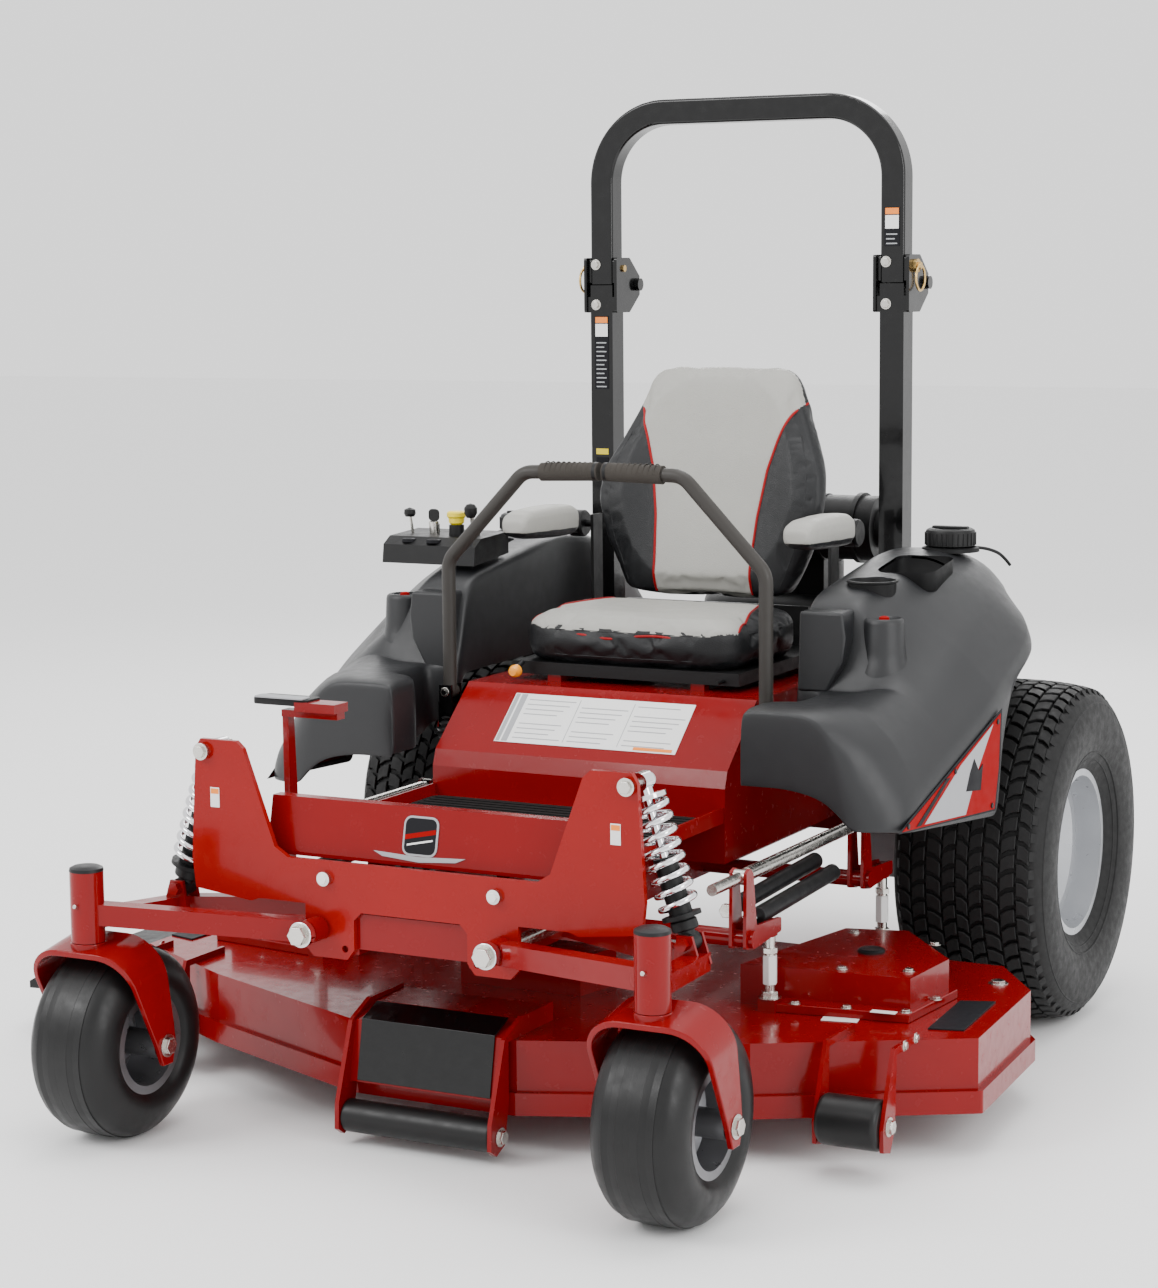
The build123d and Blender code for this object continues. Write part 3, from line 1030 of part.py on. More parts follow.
# ---------------------------------------------------------------- every node
def main():
    os.makedirs("parts", exist_ok=True)
    write("main_frame", main_frame())
    write("front_plate", front_plate())
    write("foot_deck", foot_deck())
    write("seat_box", seat_box())
    write("fender_left", fender(True))
    write("fender_right", [mirror(piece, about=Plane.YZ) for piece in fender(False)])
    write("rops_posts", rops_posts())
    write("engine_block", engine_block())
    write("engine_shroud", engine_shroud())
    write("air_cleaner", air_cleaner())
    write("muffler", muffler())
    write("hydraulic_drives", hydraulic_drives())
    write("control_panel", control_panel())
    write("chassis_bolts", chassis_bolts())
    write_sides("suspension_arm", suspension_arm())
    write_sides("shock_upper", shock_upper())
    write_sides("shock_lower", shock_lower())
    write_sides("coil_spring", coil_spring())
    write_sides("caster_fork", caster_fork())
    write_sides("caster_rim", caster_rim())
    write_sides("caster_tyre", caster_tyre())
    write_sides("drive_tyre", drive_tyre())
    write_sides("drive_rim", drive_rim())
    write("rops_hoop", rops_hoop())
    write_sides("lock_pin", lock_pin())
    write_sides("lever_base", lever_base())
    tube = lever_tube()
    write_sides("lever_tube", tube)
    write_sides("lever_grip", lever_grip(tube))
    write("seat_pan", seat_pan())
    write("seat_cushion", seat_cushion())
    write("seat_back", seat_back())
    write_sides("armrest", armrest())
    write("deck_shell", deck_shell())
    write("deck_covers", deck_covers())
    write("deck_chute", deck_chute())
    front = roller(2 * ROLLER_X, ROLLER_R, 4)
    write("front_roller", Pos(0, ROLLER_Y, ROLLER_Z) * front)
    side = roller(SIDE_ROLLER_LEN, SIDE_ROLLER_R, 10)
    write_sides("side_roller", Pos(SIDE_ROLLER_X, SIDE_ROLLER_Y, SIDE_ROLLER_Z) * side)
    for name, (x, y), turn in zip(("left", "centre", "right"), SPINDLES, (20, -35, 60)):
        write("blade_spindle_" + name, blade_spindle(x, y, turn))
    write("lift_front_shaft", crank_plates(CRANK_FRONT_Y))
    write("lift_rear_shaft", crank_plates(CRANK_REAR_Y))
    write("lift_links", lift_links())
    write("lift_pedal", lift_pedal())
    write("fuel_cap", fuel_cap())


if __name__ == "__main__":
    main()
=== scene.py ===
"""Looks for the zero turn mower: materials, moulded fenders, turf tyres, upholstery and small fittings.

Places are written in the machine's own millimetres, as in the CAD model (X across, positive to the
operator's left; Y from front to rear with the drive axle at zero; Z up), and at() turns them into
the row frame.
"""
from math import cos, hypot, pi, radians, sin

import bmesh
import bpy
from mathutils import Matrix, Vector
from mathutils.bvhtree import BVHTree


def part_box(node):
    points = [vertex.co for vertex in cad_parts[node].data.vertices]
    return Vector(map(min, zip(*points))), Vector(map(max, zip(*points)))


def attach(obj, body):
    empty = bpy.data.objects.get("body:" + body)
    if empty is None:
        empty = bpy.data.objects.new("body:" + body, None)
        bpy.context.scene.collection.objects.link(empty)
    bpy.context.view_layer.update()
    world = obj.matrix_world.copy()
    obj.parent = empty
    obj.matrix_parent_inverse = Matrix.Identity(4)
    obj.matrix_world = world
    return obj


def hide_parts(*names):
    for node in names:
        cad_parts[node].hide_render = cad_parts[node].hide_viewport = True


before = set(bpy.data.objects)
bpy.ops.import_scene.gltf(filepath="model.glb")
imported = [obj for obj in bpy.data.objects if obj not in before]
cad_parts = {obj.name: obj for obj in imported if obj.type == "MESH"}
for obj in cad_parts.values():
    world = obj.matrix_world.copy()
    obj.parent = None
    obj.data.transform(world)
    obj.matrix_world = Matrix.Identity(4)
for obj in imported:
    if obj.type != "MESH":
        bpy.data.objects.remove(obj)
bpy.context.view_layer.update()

MM = 0.001
SIDES = (("left", 1), ("right", -1))
RIM_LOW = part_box("drive_rim_left")
RIM_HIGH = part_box("drive_rim_right")
CENTRE_X = (RIM_LOW[1].x + RIM_HIGH[0].x) / 2
AXLE_Y = (RIM_LOW[0].y + RIM_LOW[1].y) / 2


def at(x, y, z):
    """A place in the machine's millimetres, in the row frame's metres."""
    return Vector((CENTRE_X + x * MM, AXLE_Y + y * MM, z * MM))


# ---------------------------------------------------------------- materials
def link(tree, start, end):
    tree.links.new(start, end)


def noise(tree, where, scale, detail=4.0, rough=0.55):
    node = tree.nodes.new("ShaderNodeTexNoise")
    node.inputs["Scale"].default_value = scale
    node.inputs["Detail"].default_value = detail
    node.inputs["Roughness"].default_value = rough
    link(tree, where.outputs["Object"], node.inputs["Vector"])
    return node.outputs["Fac"]


def spread(tree, value, low, high):
    """A 0 to 1 value moved to low to high."""
    node = tree.nodes.new("ShaderNodeMapRange")
    node.inputs["From Min"].default_value = 0.3
    node.inputs["From Max"].default_value = 0.7
    node.inputs["To Min"].default_value = low
    node.inputs["To Max"].default_value = high
    link(tree, value, node.inputs["Value"])
    return node.outputs["Result"]


def blend_color(tree, value, first, second):
    node = tree.nodes.new("ShaderNodeMix")
    node.data_type = "RGBA"
    for socket, color in (("A", first), ("B", second)):
        target = [s for s in node.inputs if s.name == socket and s.type == "RGBA"][0]
        if isinstance(color, tuple):
            target.default_value = (*color, 1.0)
        else:
            link(tree, color, target)
    link(tree, value, node.inputs["Factor"])
    return [s for s in node.outputs if s.type == "RGBA"][0]


def material(name, color, rough, metal=0.0, coat=0.0, vary=0.12, rough_vary=0.08, blotch=9.0,
             grain=0.0, grain_scale=700.0, wave=0.0, wave_scale=60.0, dust=0.0, dust_color=(0.16, 0.14, 0.12),
             sheen=0.0, cells=False, scratch=0.0, gloss=0.5):
    """Procedural finish: two-tone colour, uneven gloss, fine grain, slow waviness, low dust and scratches."""
    made = bpy.data.materials.new(name)
    made.use_nodes = True
    tree = made.node_tree
    shader = tree.nodes["Principled BSDF"]
    where = tree.nodes.new("ShaderNodeTexCoord")
    clouds = noise(tree, where, blotch)
    lighter = tuple(min(1.0, c * (1 + vary)) for c in color)
    darker = tuple(c * (1 - vary) for c in color)
    tone = blend_color(tree, clouds, darker, lighter)
    rough_value = spread(tree, noise(tree, where, blotch * 5), max(0.03, rough - rough_vary),
                         rough + rough_vary)
    if dust:
        place = tree.nodes.new("ShaderNodeSeparateXYZ")
        link(tree, where.outputs["Object"], place.inputs["Vector"])
        height = tree.nodes.new("ShaderNodeMapRange")
        height.inputs["From Min"].default_value = 0.42
        height.inputs["From Max"].default_value = 0.0
        height.inputs["To Max"].default_value = dust
        link(tree, place.outputs["Z"], height.inputs["Value"])
        patch = tree.nodes.new("ShaderNodeMath")
        patch.operation = "MULTIPLY"
        link(tree, height.outputs["Result"], patch.inputs[0])
        link(tree, noise(tree, where, 38.0, 6.0, 0.7), patch.inputs[1])
        tone = blend_color(tree, patch.outputs["Value"], tone, dust_color)
    if scratch:
        marks = tree.nodes.new("ShaderNodeTexNoise")
        marks.inputs["Scale"].default_value = 14.0
        marks.inputs["Detail"].default_value = 9.0
        marks.inputs["Distortion"].default_value = 3.5
        link(tree, where.outputs["Object"], marks.inputs["Vector"])
        thin = tree.nodes.new("ShaderNodeMapRange")
        thin.inputs["From Min"].default_value = 0.66
        thin.inputs["From Max"].default_value = 0.70
        thin.inputs["To Max"].default_value = scratch
        link(tree, marks.outputs["Fac"], thin.inputs["Value"])
        pale = tuple(min(1.0, c * 1.6 + 0.05) for c in color)
        tone = blend_color(tree, thin.outputs["Result"], tone, pale)
    link(tree, tone, shader.inputs["Base Color"])
    link(tree, rough_value, shader.inputs["Roughness"])
    shader.inputs["Metallic"].default_value = metal
    shader.inputs["Specular IOR Level"].default_value = gloss
    shader.inputs["Coat Weight"].default_value = coat
    shader.inputs["Coat Roughness"].default_value = 0.06
    if sheen:
        shader.inputs["Sheen Weight"].default_value = sheen
    last = None
    for strength, scale, distance in ((wave, wave_scale, 0.004), (grain, grain_scale, 0.0006)):
        if not strength:
            continue
        bump = tree.nodes.new("ShaderNodeBump")
        bump.inputs["Strength"].default_value = strength
        bump.inputs["Distance"].default_value = distance
        if cells and scale == grain_scale:
            pattern = tree.nodes.new("ShaderNodeTexVoronoi")
            pattern.inputs["Scale"].default_value = scale
            link(tree, where.outputs["Object"], pattern.inputs["Vector"])
            link(tree, pattern.outputs["Distance"], bump.inputs["Height"])
        else:
            link(tree, noise(tree, where, scale, 2.0), bump.inputs["Height"])
        if last:
            link(tree, last, bump.inputs["Normal"])
        last = bump.outputs["Normal"]
    if last:
        link(tree, last, shader.inputs["Normal"])
    return made


RED = material("red_paint", (0.19, 0.0004, 0.0012), 0.22, coat=0.22, vary=0.10, wave=0.05, wave_scale=34,
               grain=0.06, grain_scale=420, scratch=0.02, gloss=0.15)
ORANGE_RED = material("orange_red_paint", (0.24, 0.0016, 0.0008), 0.24, coat=0.20, vary=0.08, wave=0.05,
                      wave_scale=30, grain=0.06, grain_scale=420, scratch=0.02, gloss=0.15)
BLACK_GLOSS = material("black_paint", (0.0018, 0.0018, 0.0020), 0.20, coat=0.30, wave=0.06, wave_scale=40,
                       grain=0.10, grain_scale=500, scratch=0.06, gloss=0.25)
FENDER = material("fender_plastic", (0.0120, 0.0125, 0.0138), 0.36, vary=0.10, rough_vary=0.05, grain=0.30,
                  grain_scale=1300, cells=True, wave=0.03, wave_scale=12, gloss=0.42)
FENDER_DARK = material("fender_shadow_plastic", (0.003, 0.003, 0.0033), 0.5, grain=0.3, grain_scale=1200,
                       cells=True, gloss=0.2)
BLACK_PLASTIC = material("black_plastic", (0.0035, 0.0035, 0.0038), 0.42, grain=0.35, grain_scale=1100,
                         cells=True, gloss=0.28)
TYRE = material("tyre_rubber", (0.0062, 0.0062, 0.0064), 0.62, vary=0.25, rough_vary=0.1, blotch=14,
                grain=0.35, grain_scale=900, dust=0.12, dust_color=(0.030, 0.028, 0.026), gloss=0.3)
SMOOTH_TYRE = material("caster_rubber", (0.0045, 0.0045, 0.0047), 0.40, vary=0.2, grain=0.2, grain_scale=900,
                       dust=0.08, dust_color=(0.028, 0.026, 0.024), gloss=0.3)
SILVER = material("rim_silver", (0.42, 0.43, 0.45), 0.34, metal=0.5, vary=0.06, wave=0.03, wave_scale=30,
                  grain=0.12, grain_scale=600)
CASTER_SILVER = material("caster_rim_silver", (0.20, 0.20, 0.21), 0.34, metal=0.8, vary=0.12, grain=0.15)
ZINC = material("zinc_plate", (0.62, 0.60, 0.56), 0.24, metal=1.0, vary=0.06, blotch=12, grain=0.12,
                grain_scale=800)
CHROME = material("chrome", (0.80, 0.80, 0.82), 0.09, metal=1.0, vary=0.04, rough_vary=0.03, grain=0.04)
GOLD_ZINC = material("yellow_zinc", (0.62, 0.42, 0.16), 0.30, metal=1.0, vary=0.2, blotch=60, grain=0.2)
CAST = material("cast_alloy", (0.30, 0.30, 0.31), 0.52, metal=0.8, vary=0.2, grain=0.6, grain_scale=500)
DARK_STEEL = material("dark_steel", (0.014, 0.014, 0.015), 0.40, metal=0.4, vary=0.25, grain=0.4,
                      scratch=0.08, gloss=0.3)
TAUPE = material("taupe_powder_coat", (0.026, 0.023, 0.020), 0.46, vary=0.08, grain=0.4, grain_scale=900,
                 gloss=0.35)
FOAM = material("foam_sleeve", (0.036, 0.031, 0.026), 0.78, vary=0.12, grain=0.7, grain_scale=1000,
                cells=True, gloss=0.3)
LIGHT_VINYL = material("light_vinyl", (0.34, 0.335, 0.31), 0.50, vary=0.05, blotch=16, grain=0.55,
                       grain_scale=620, cells=True, wave=0.10, wave_scale=22, gloss=0.35)
DARK_VINYL = material("charcoal_vinyl", (0.0075, 0.008, 0.009), 0.42, vary=0.12, blotch=16, grain=0.6,
                      grain_scale=620, cells=True, wave=0.10, wave_scale=22, gloss=0.35)
RED_PIPING = material("red_piping", (0.28, 0.002, 0.004), 0.38, grain=0.2, grain_scale=900, gloss=0.2)
WHITE_LABEL = material("white_label", (0.80, 0.80, 0.79), 0.35, vary=0.03, grain=0.05)
GREY_INK = material("grey_ink", (0.32, 0.33, 0.34), 0.4, vary=0.08)
DARK_INK = material("dark_ink", (0.010, 0.010, 0.012), 0.5, vary=0.1, gloss=0.1)
ORANGE_INK = material("orange_ink", (0.85, 0.22, 0.01), 0.4, vary=0.08)
YELLOW = material("yellow_plastic", (0.80, 0.62, 0.01), 0.35, vary=0.08, grain=0.1)
AMBER = material("amber_plastic", (0.95, 0.33, 0.01), 0.25, vary=0.1, coat=0.5)
BADGE_RED = material("badge_red", (0.26, 0.0006, 0.0016), 0.5, vary=0.04, grain=0.04, gloss=0.05)
BADGE_SILVER = material("badge_silver", (0.34, 0.345, 0.36), 0.5, vary=0.05, grain=0.06, gloss=0.1)
MAT_RUBBER = material("floor_mat", (0.005, 0.005, 0.005), 0.7, grain=0.6, grain_scale=600, gloss=0.2)


# ---------------------------------------------------------------- piece builders
def finish_piece(made, body):
    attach(made, body)
    return made


def smooth_by_angle(made, degrees=38):
    """Smooth shading with edges sharper than the angle kept crisp."""
    mesh = made.data
    work = bmesh.new()
    work.from_mesh(mesh)
    for edge in work.edges:
        edge.smooth = not (len(edge.link_faces) == 2 and edge.calc_face_angle(0) > radians(degrees))
    for face in work.faces:
        face.smooth = True
    work.to_mesh(mesh)
    work.free()


def bevel(made, width, segments=2, angle=32):
    tool = made.modifiers.new("soft_edges", "BEVEL")
    tool.width = width * MM
    tool.segments = segments
    tool.limit_method = "ANGLE"
    tool.angle_limit = radians(angle)
    tool.harden_normals = True
    return tool


def build(name, points, faces, finish, closed=True):
    """A mesh object from points in the machine's millimetres."""
    mesh = bpy.data.meshes.new(name)
    mesh.from_pydata([at(*p) for p in points], [], faces)
    mesh.materials.append(finish)
    made = bpy.data.objects.new(name, mesh)
    bpy.context.scene.collection.objects.link(made)
    if closed:
        work = bmesh.new()
        work.from_mesh(mesh)
        bmesh.ops.remove_doubles(work, verts=work.verts, dist=0.00002)
        bmesh.ops.recalc_face_normals(work, faces=work.faces)
        work.to_mesh(mesh)
        work.free()
    return made


def apply_modifiers(made):
    """The object's mesh with its modifiers worked in."""
    graph = bpy.context.evaluated_depsgraph_get()
    mesh = bpy.data.meshes.new_from_object(made.evaluated_get(graph))
    made.modifiers.clear()
    made.data = mesh
    return made


def turn(axis, along, radius, angle):
    """A point at an angle round an axis, as x, y, z offsets."""
    up, side = radius * cos(angle), radius * sin(angle)
    return {"x": (along, side, up), "y": (side, along, up), "z": (side, up, along)}[axis]


def lathe(name, profile, centre, finish, body, axis="x", steps=96, closed=True, angle=30):
    """A turned piece. profile is a ring of (along, radius) points."""
    points, faces = [], []
    for step in range(steps):
        for along, radius in profile:
            x, y, z = turn(axis, along, radius, 2 * pi * step / steps)
            points.append((centre[0] + x, centre[1] + y, centre[2] + z))
    count = len(profile)
    runs = count if closed else count - 1
    for step in range(steps):
        for i in range(runs):
            j = (i + 1) % count
            here, there = step * count, (step + 1) % steps * count
            faces.append((here + i, here + j, there + j, there + i))
    made = build(name, points, faces, finish)
    smooth_by_angle(made, angle)
    return finish_piece(made, body)


def arc(centre, radius, start, end, steps):
    """Points of an arc in degrees, as (along, radius) or (x, z) pairs."""
    turns = [radians(start + (end - start) * i / steps) for i in range(steps + 1)]
    return [(centre[0] + radius * cos(a), centre[1] + radius * sin(a)) for a in turns]


def put(axis, across, along):
    """Point of an outline drawn across an axis, at a distance along it."""
    a, b = across
    return {"x": (along, a, b), "y": (a, along, b), "z": (a, b, along)}[axis]


def plate(name, outline, axis, span, finish, body, edge=1.0):
    """A flat piece: an outline across an axis, between two distances along it."""
    count = len(outline)
    points = [put(axis, p, span[0]) for p in outline] + [put(axis, p, span[1]) for p in outline]
    faces = [tuple(range(count)), tuple(range(2 * count - 1, count - 1, -1))]
    faces += [(i, (i + 1) % count, count + (i + 1) % count, count + i) for i in range(count)]
    made = build(name, points, faces, finish)
    if edge:
        bevel(made, edge)
    smooth_by_angle(made)
    return finish_piece(made, body)


def rectangle(x, y):
    return [(x[0], y[0]), (x[1], y[0]), (x[1], y[1]), (x[0], y[1])]


def rounded(x, y, radius, steps=5):
    """A rectangle with round corners."""
    corners = ((x[1], y[1], 0), (x[0], y[1], 90), (x[0], y[0], 180), (x[1], y[0], 270))
    points = []
    for cx, cy, start in corners:
        inset_x = cx - radius if cx == x[1] else cx + radius
        inset_y = cy - radius if cy == y[1] else cy + radius
        points += arc((inset_x, inset_y), radius, start, start + 90, steps)
    return points


def tube(name, points, radius, finish, body, closed=False, sides=10):
    """A smooth round tube through points."""
    data = bpy.data.curves.new(name, "CURVE")
    data.dimensions = "3D"
    data.bevel_depth = radius * MM
    data.bevel_resolution = sides // 4 + 1
    data.use_fill_caps = not closed
    data.resolution_u = 6
    line = data.splines.new("NURBS")
    line.points.add(len(points) - 1)
    for spot, place in zip(line.points, points):
        spot.co = (*at(*place), 1.0)
    line.order_u = 3
    line.use_endpoint_u = not closed
    line.use_cyclic_u = closed
    data.materials.append(finish)
    made = bpy.data.objects.new(name, data)
    bpy.context.scene.collection.objects.link(made)
    return finish_piece(made, body)


def round_bar(name, start, end, radius, finish, body, sides=32, edge=0.8):
    """A straight round bar between two points."""
    start, end = Vector(start), Vector(end)
    run = (end - start).normalized()
    side = run.orthogonal().normalized()
    up = run.cross(side)
    points = []
    for middle in (start, end):
        for i in range(sides):
            turned = 2 * pi * i / sides
            points.append(tuple(middle + radius * (side * cos(turned) + up * sin(turned))))
    faces = [tuple(range(sides)), tuple(range(2 * sides - 1, sides - 1, -1))]
    faces += [(i, (i + 1) % sides, sides + (i + 1) % sides, sides + i) for i in range(sides)]
    made = build(name, points, faces, finish)
    if edge:
        bevel(made, edge)
    smooth_by_angle(made)
    return finish_piece(made, body)


def hex_bolt(name, centre, axis, size, finish, body, height=7.0, washer=True):
    """A hexagon head on a washer, its head towards +axis or -axis as height says."""
    along = {"x": 0, "y": 1, "z": 2}[axis]
    drop = [centre[i] for i in range(3) if i != along]
    ring = [(drop[0] + size * cos(radians(60 * i)), drop[1] + size * sin(radians(60 * i))) for i in range(6)]
    base = centre[along]
    head = plate(name, ring, axis, (base, base + height), finish, body, edge=1.0)
    if washer:
        wide = [(drop[0] + size * 1.35 * cos(radians(15 * i)), drop[1] + size * 1.35 * sin(radians(15 * i)))
                for i in range(24)]
        plate(name + "_washer", wide, axis, (base - 0.2, base + 0.22 * height), finish, body, edge=0.4)
    return head


def loft(name, rings, finish, closed_ring=True, caps=True):
    """A skin through rings of the same number of points."""
    points = [p for ring in rings for p in ring]
    count = len(rings[0])
    runs = count if closed_ring else count - 1
    faces = []
    for r in range(len(rings) - 1):
        for i in range(runs):
            j = (i + 1) % count
            faces.append((r * count + i, r * count + j, (r + 1) * count + j, (r + 1) * count + i))
    if caps and closed_ring:
        faces.append(tuple(range(count)))
        faces.append(tuple(range(len(points) - 1, len(points) - count - 1, -1)))
    return build(name, points, faces, finish)


def subdivide(made, levels):
    tool = made.modifiers.new("smooth", "SUBSURF")
    tool.levels = levels
    tool.render_levels = levels
    return tool


# ---------------------------------------------------------------- CAD nodes that keep their shape
KEPT = {
    "main_frame": (RED, 1.5), "front_plate": (ORANGE_RED, 1.6), "foot_deck": (RED, 1.4), "seat_box": (RED,
                                                                                                      2.0),
    "rops_posts": (BLACK_GLOSS, 2.2), "rops_hoop": (BLACK_GLOSS, 1.4), "engine_block": (CAST, 1.5),
    "engine_shroud": (BLACK_PLASTIC, 2.0), "air_cleaner": (BLACK_PLASTIC, 2.0), "muffler": (DARK_STEEL, 1.5),
    "hydraulic_drives": (CAST, 2.0), "control_panel": (BLACK_PLASTIC, 2.0), "chassis_bolts": (ZINC, 1.5),
    "seat_pan": (BLACK_PLASTIC, 1.5), "deck_shell": (RED, 1.5), "deck_covers": (RED, 1.5),
    "deck_chute": (BLACK_PLASTIC, 1.0), "front_roller": (SMOOTH_TYRE, 1.0), "lift_front_shaft": (RED, 1.2),
    "lift_rear_shaft": (RED, 1.2), "lift_links": (ZINC, 1.0), "lift_pedal": (RED, 1.2),
}
KEPT_PAIRS = {
    "suspension_arm_": (RED, 2.0), "shock_upper_": (CHROME, 0.0), "shock_lower_": (BLACK_PLASTIC, 0.8),
    "coil_spring_": (CHROME, 0.0), "caster_rim_": (CASTER_SILVER, 1.0), "drive_rim_": (SILVER, 1.2),
    "lever_base_": (BLACK_GLOSS, 1.2), "lever_tube_": (TAUPE, 0.0), "lever_grip_": (FOAM, 1.5),
    "lock_pin_": (GOLD_ZINC, 0.0), "side_roller_": (SMOOTH_TYRE, 1.0),
}
for stem, look in KEPT_PAIRS.items():
    for side, _ in SIDES:
        KEPT[stem + side] = look
for place in ("left", "centre", "right"):
    KEPT["blade_spindle_" + place] = (DARK_STEEL, 0.8)


def dress_kept_nodes():
    for node, (finish, edge) in KEPT.items():
        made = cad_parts[node]
        made.data.materials.clear()
        made.data.materials.append(finish)
        for face in made.data.polygons:
            face.material_index = 0
        if edge:
            bevel(made, edge)


# ---------------------------------------------------------------- wheels
TYRE_X, TYRE_Z, TYRE_R, TYRE_W = 590, 330, 330, 305
LUG_ROWS = 58
LUG_DEPTH = 8.5


def crown(x):
    """Radius of the drive tyre's tread at a distance from its middle."""
    return TYRE_R - 0.6 - 14 * abs(x / 140) ** 2.6


def drive_tyre(side, flip):
    middle = (flip * TYRE_X, 0, TYRE_Z)
    half = TYRE_W / 2
    base = [(x, crown(x) - LUG_DEPTH) for x in range(-130, 131, 10)]
    outer = [(half - 13, 303), (half - 6, 290), (half - 1, 265), (half - 0.6, 235), (half - 6, 205),
             (half - 17, 182), (half - 24, 176), (half - 27, 168), (half - 30, 166), (half - 32, 158)]
    bore = [(half - 38, 157), (half - 46, 172), (-half + 46, 172), (-half + 38, 157)]
    profile = base + outer + bore + [(-x, r) for x, r in reversed(outer)]
    carcass = lathe("drive_tyre_carcass_" + side, profile, middle, TYRE, "drive_wheel_" + side, steps=144,
                    angle=60)
    for ring_radius, width in ((290, 2.2), (196, 2.6), (183, 1.8)):
        for wall in (-1, 1):
            depth = {290: half - 7.5, 196: half - 11, 183: half - 17.4}[ring_radius] * wall
            ring = [(depth + width * cos(a), ring_radius + width * sin(a)) for a in
                    [2 * pi * i / 8 for i in range(8)]]
            lathe(f"tyre_rib_{ring_radius}_{'out' if wall == flip else 'in'}_{side}", ring, middle, TYRE,
                  "drive_wheel_" + side, steps=120)
    points, faces = [], []
    pitch = 2 * pi / LUG_ROWS
    columns = [(-126, -104), (-100, -74), (-70, -42), (-38, -14), (-11, 11), (14, 38), (42, 70), (74, 100),
               (104, 126)]
    for row in range(LUG_ROWS):
        for index, (low, high) in enumerate(columns):
            shift = pitch * (0.5 * (index % 2) + row)
            lean = pitch * 0.16 * (1 if index % 2 else -1)
            notch = pitch * 0.10
            outline = [(low, -0.40 * pitch - lean), ((low + high) / 2, -0.40 * pitch + notch),
                       (high, -0.40 * pitch + lean), (high, 0.34 * pitch + lean),
                       ((low + high) / 2, 0.34 * pitch + notch), (low, 0.34 * pitch - lean)]
            first = len(points)
            for x, a in outline:
                for lift, pull in ((LUG_DEPTH + 2.5, 1.0), (1.2, 1.0), (0.0, 0.90)):
                    mid = (low + high) / 2
                    across_x = mid + (x - mid) * pull
                    turned = shift + a * pull
                    _, y, z = turn("x", 0, crown(x) - lift, turned)
                    points.append((middle[0] + across_x, middle[1] + y, middle[2] + z))
            for i in range(6):
                j = (i + 1) % 6
                for level in (0, 1):
                    faces.append((first + 3 * i + level, first + 3 * j + level, first + 3 * j + level + 1,
                                  first + 3 * i + level + 1))
            faces.append(tuple(first + 3 * i + 2 for i in range(6)))
            faces.append(tuple(first + 3 * i for i in reversed(range(6))))
    # short bars over the shoulder, in line with every second row
    for row in range(LUG_ROWS):
        for edge in (-1, 1):
            shift = pitch * row
            first = len(points)
            for x, radius in ((127, crown(127) - 0.6), (141, 297), (146.5, 282)):
                for a in (-0.33 * pitch, 0.20 * pitch):
                    for drop in (0.0, 9.0):
                        _, y, z = turn("x", 0, radius - drop, shift + a)
                        inward = x - (3.5 if drop else 0)
                        points.append((middle[0] + edge * inward, middle[1] + y, middle[2] + z))
            ring = (0, 1, 3, 2)
            for part in (0, 1):
                for i in range(4):
                    here, there = ring[i], ring[(i + 1) % 4]
                    faces.append((first + 4 * part + here, first + 4 * part + there,
                                  first + 4 * part + 4 + there, first + 4 * part + 4 + here))
            faces.append(tuple(first + i for i in ring))
            faces.append(tuple(first + 8 + i for i in reversed(ring)))
    lugs = build("drive_tyre_tread_" + side, points, faces, TYRE)
    smooth_by_angle(lugs, 25)
    finish_piece(lugs, "drive_wheel_" + side)
    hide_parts("drive_tyre_" + side)


LUG_CIRCLE = 57


def valve_and_nuts(side, flip):
    """Lug nuts and a valve stem on the outer face of a drive rim."""
    for i in range(5):
        angle = radians(72 * i + 20)
        middle = (flip * 545, LUG_CIRCLE * sin(angle), TYRE_Z + LUG_CIRCLE * cos(angle))
        hex_bolt(f"lug_nut_{i + 1}_{side}", middle, "x", 11, ZINC, "drive_wheel_" + side, height=flip * 14)
    valve_z = TYRE_Z - 138
    round_bar("valve_stem_" + side, (flip * 640, 8, valve_z), (flip * 672, 10, valve_z + 6), 5, BLACK_PLASTIC,
              "drive_wheel_" + side)


CASTER_X, CASTER_Y, CASTER_Z = 526, -1433, 165


def caster_tyre(side, flip):
    middle = (flip * CASTER_X, CASTER_Y, CASTER_Z)
    half = 82
    tread = [(-62, 152), (-56, 157), (-44, 161), (-28, 163.6), (-10, 164.6), (10, 164.6), (28, 163.6), (44,
                                                                                                        161),
             (56, 157), (62, 152)]
    wall = [(71, 142), (78, 128), (81.5, 114), (80.5, 103), (76, 94), (71, 89), (70.4, 87), (68, 85), (66.5,
                                                                                                       80)]
    bore = [(60, 79), (52, 92), (-52, 92), (-60, 79)]
    profile = tread + wall + bore + [(-x, r) for x, r in reversed(wall)]
    made = lathe("caster_tyre_body_" + side, profile, middle, SMOOTH_TYRE, "caster_wheel_" + side, steps=120,
                 angle=60)
    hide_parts("caster_tyre_" + side)
    for offset in (-half + 3.2, half - 3.2):
        ring = [(offset + 1.5 * cos(a), 106 + 1.5 * sin(a)) for a in [2 * pi * i / 8 for i in range(8)]]
        lathe(f"caster_rib_{'a' if offset < 0 else 'b'}_{side}", ring, middle, SMOOTH_TYRE,
              "caster_wheel_" + side)
    for groove in (-36, -12, 12, 36):
        radius = 164.9 - 1.9 * (groove / 36) ** 2
        ring = [(groove - 7.5, radius - 6), (groove - 7.5, radius - 0.8), (groove - 6.8, radius + 0.05),
                (groove + 6.8, radius + 0.05), (groove + 7.5, radius - 0.8), (groove + 7.5, radius - 6)]
        lathe(f"caster_tread_{groove + 36}_{side}", ring, middle, SMOOTH_TYRE, "caster_wheel_" + side,
              steps=120)


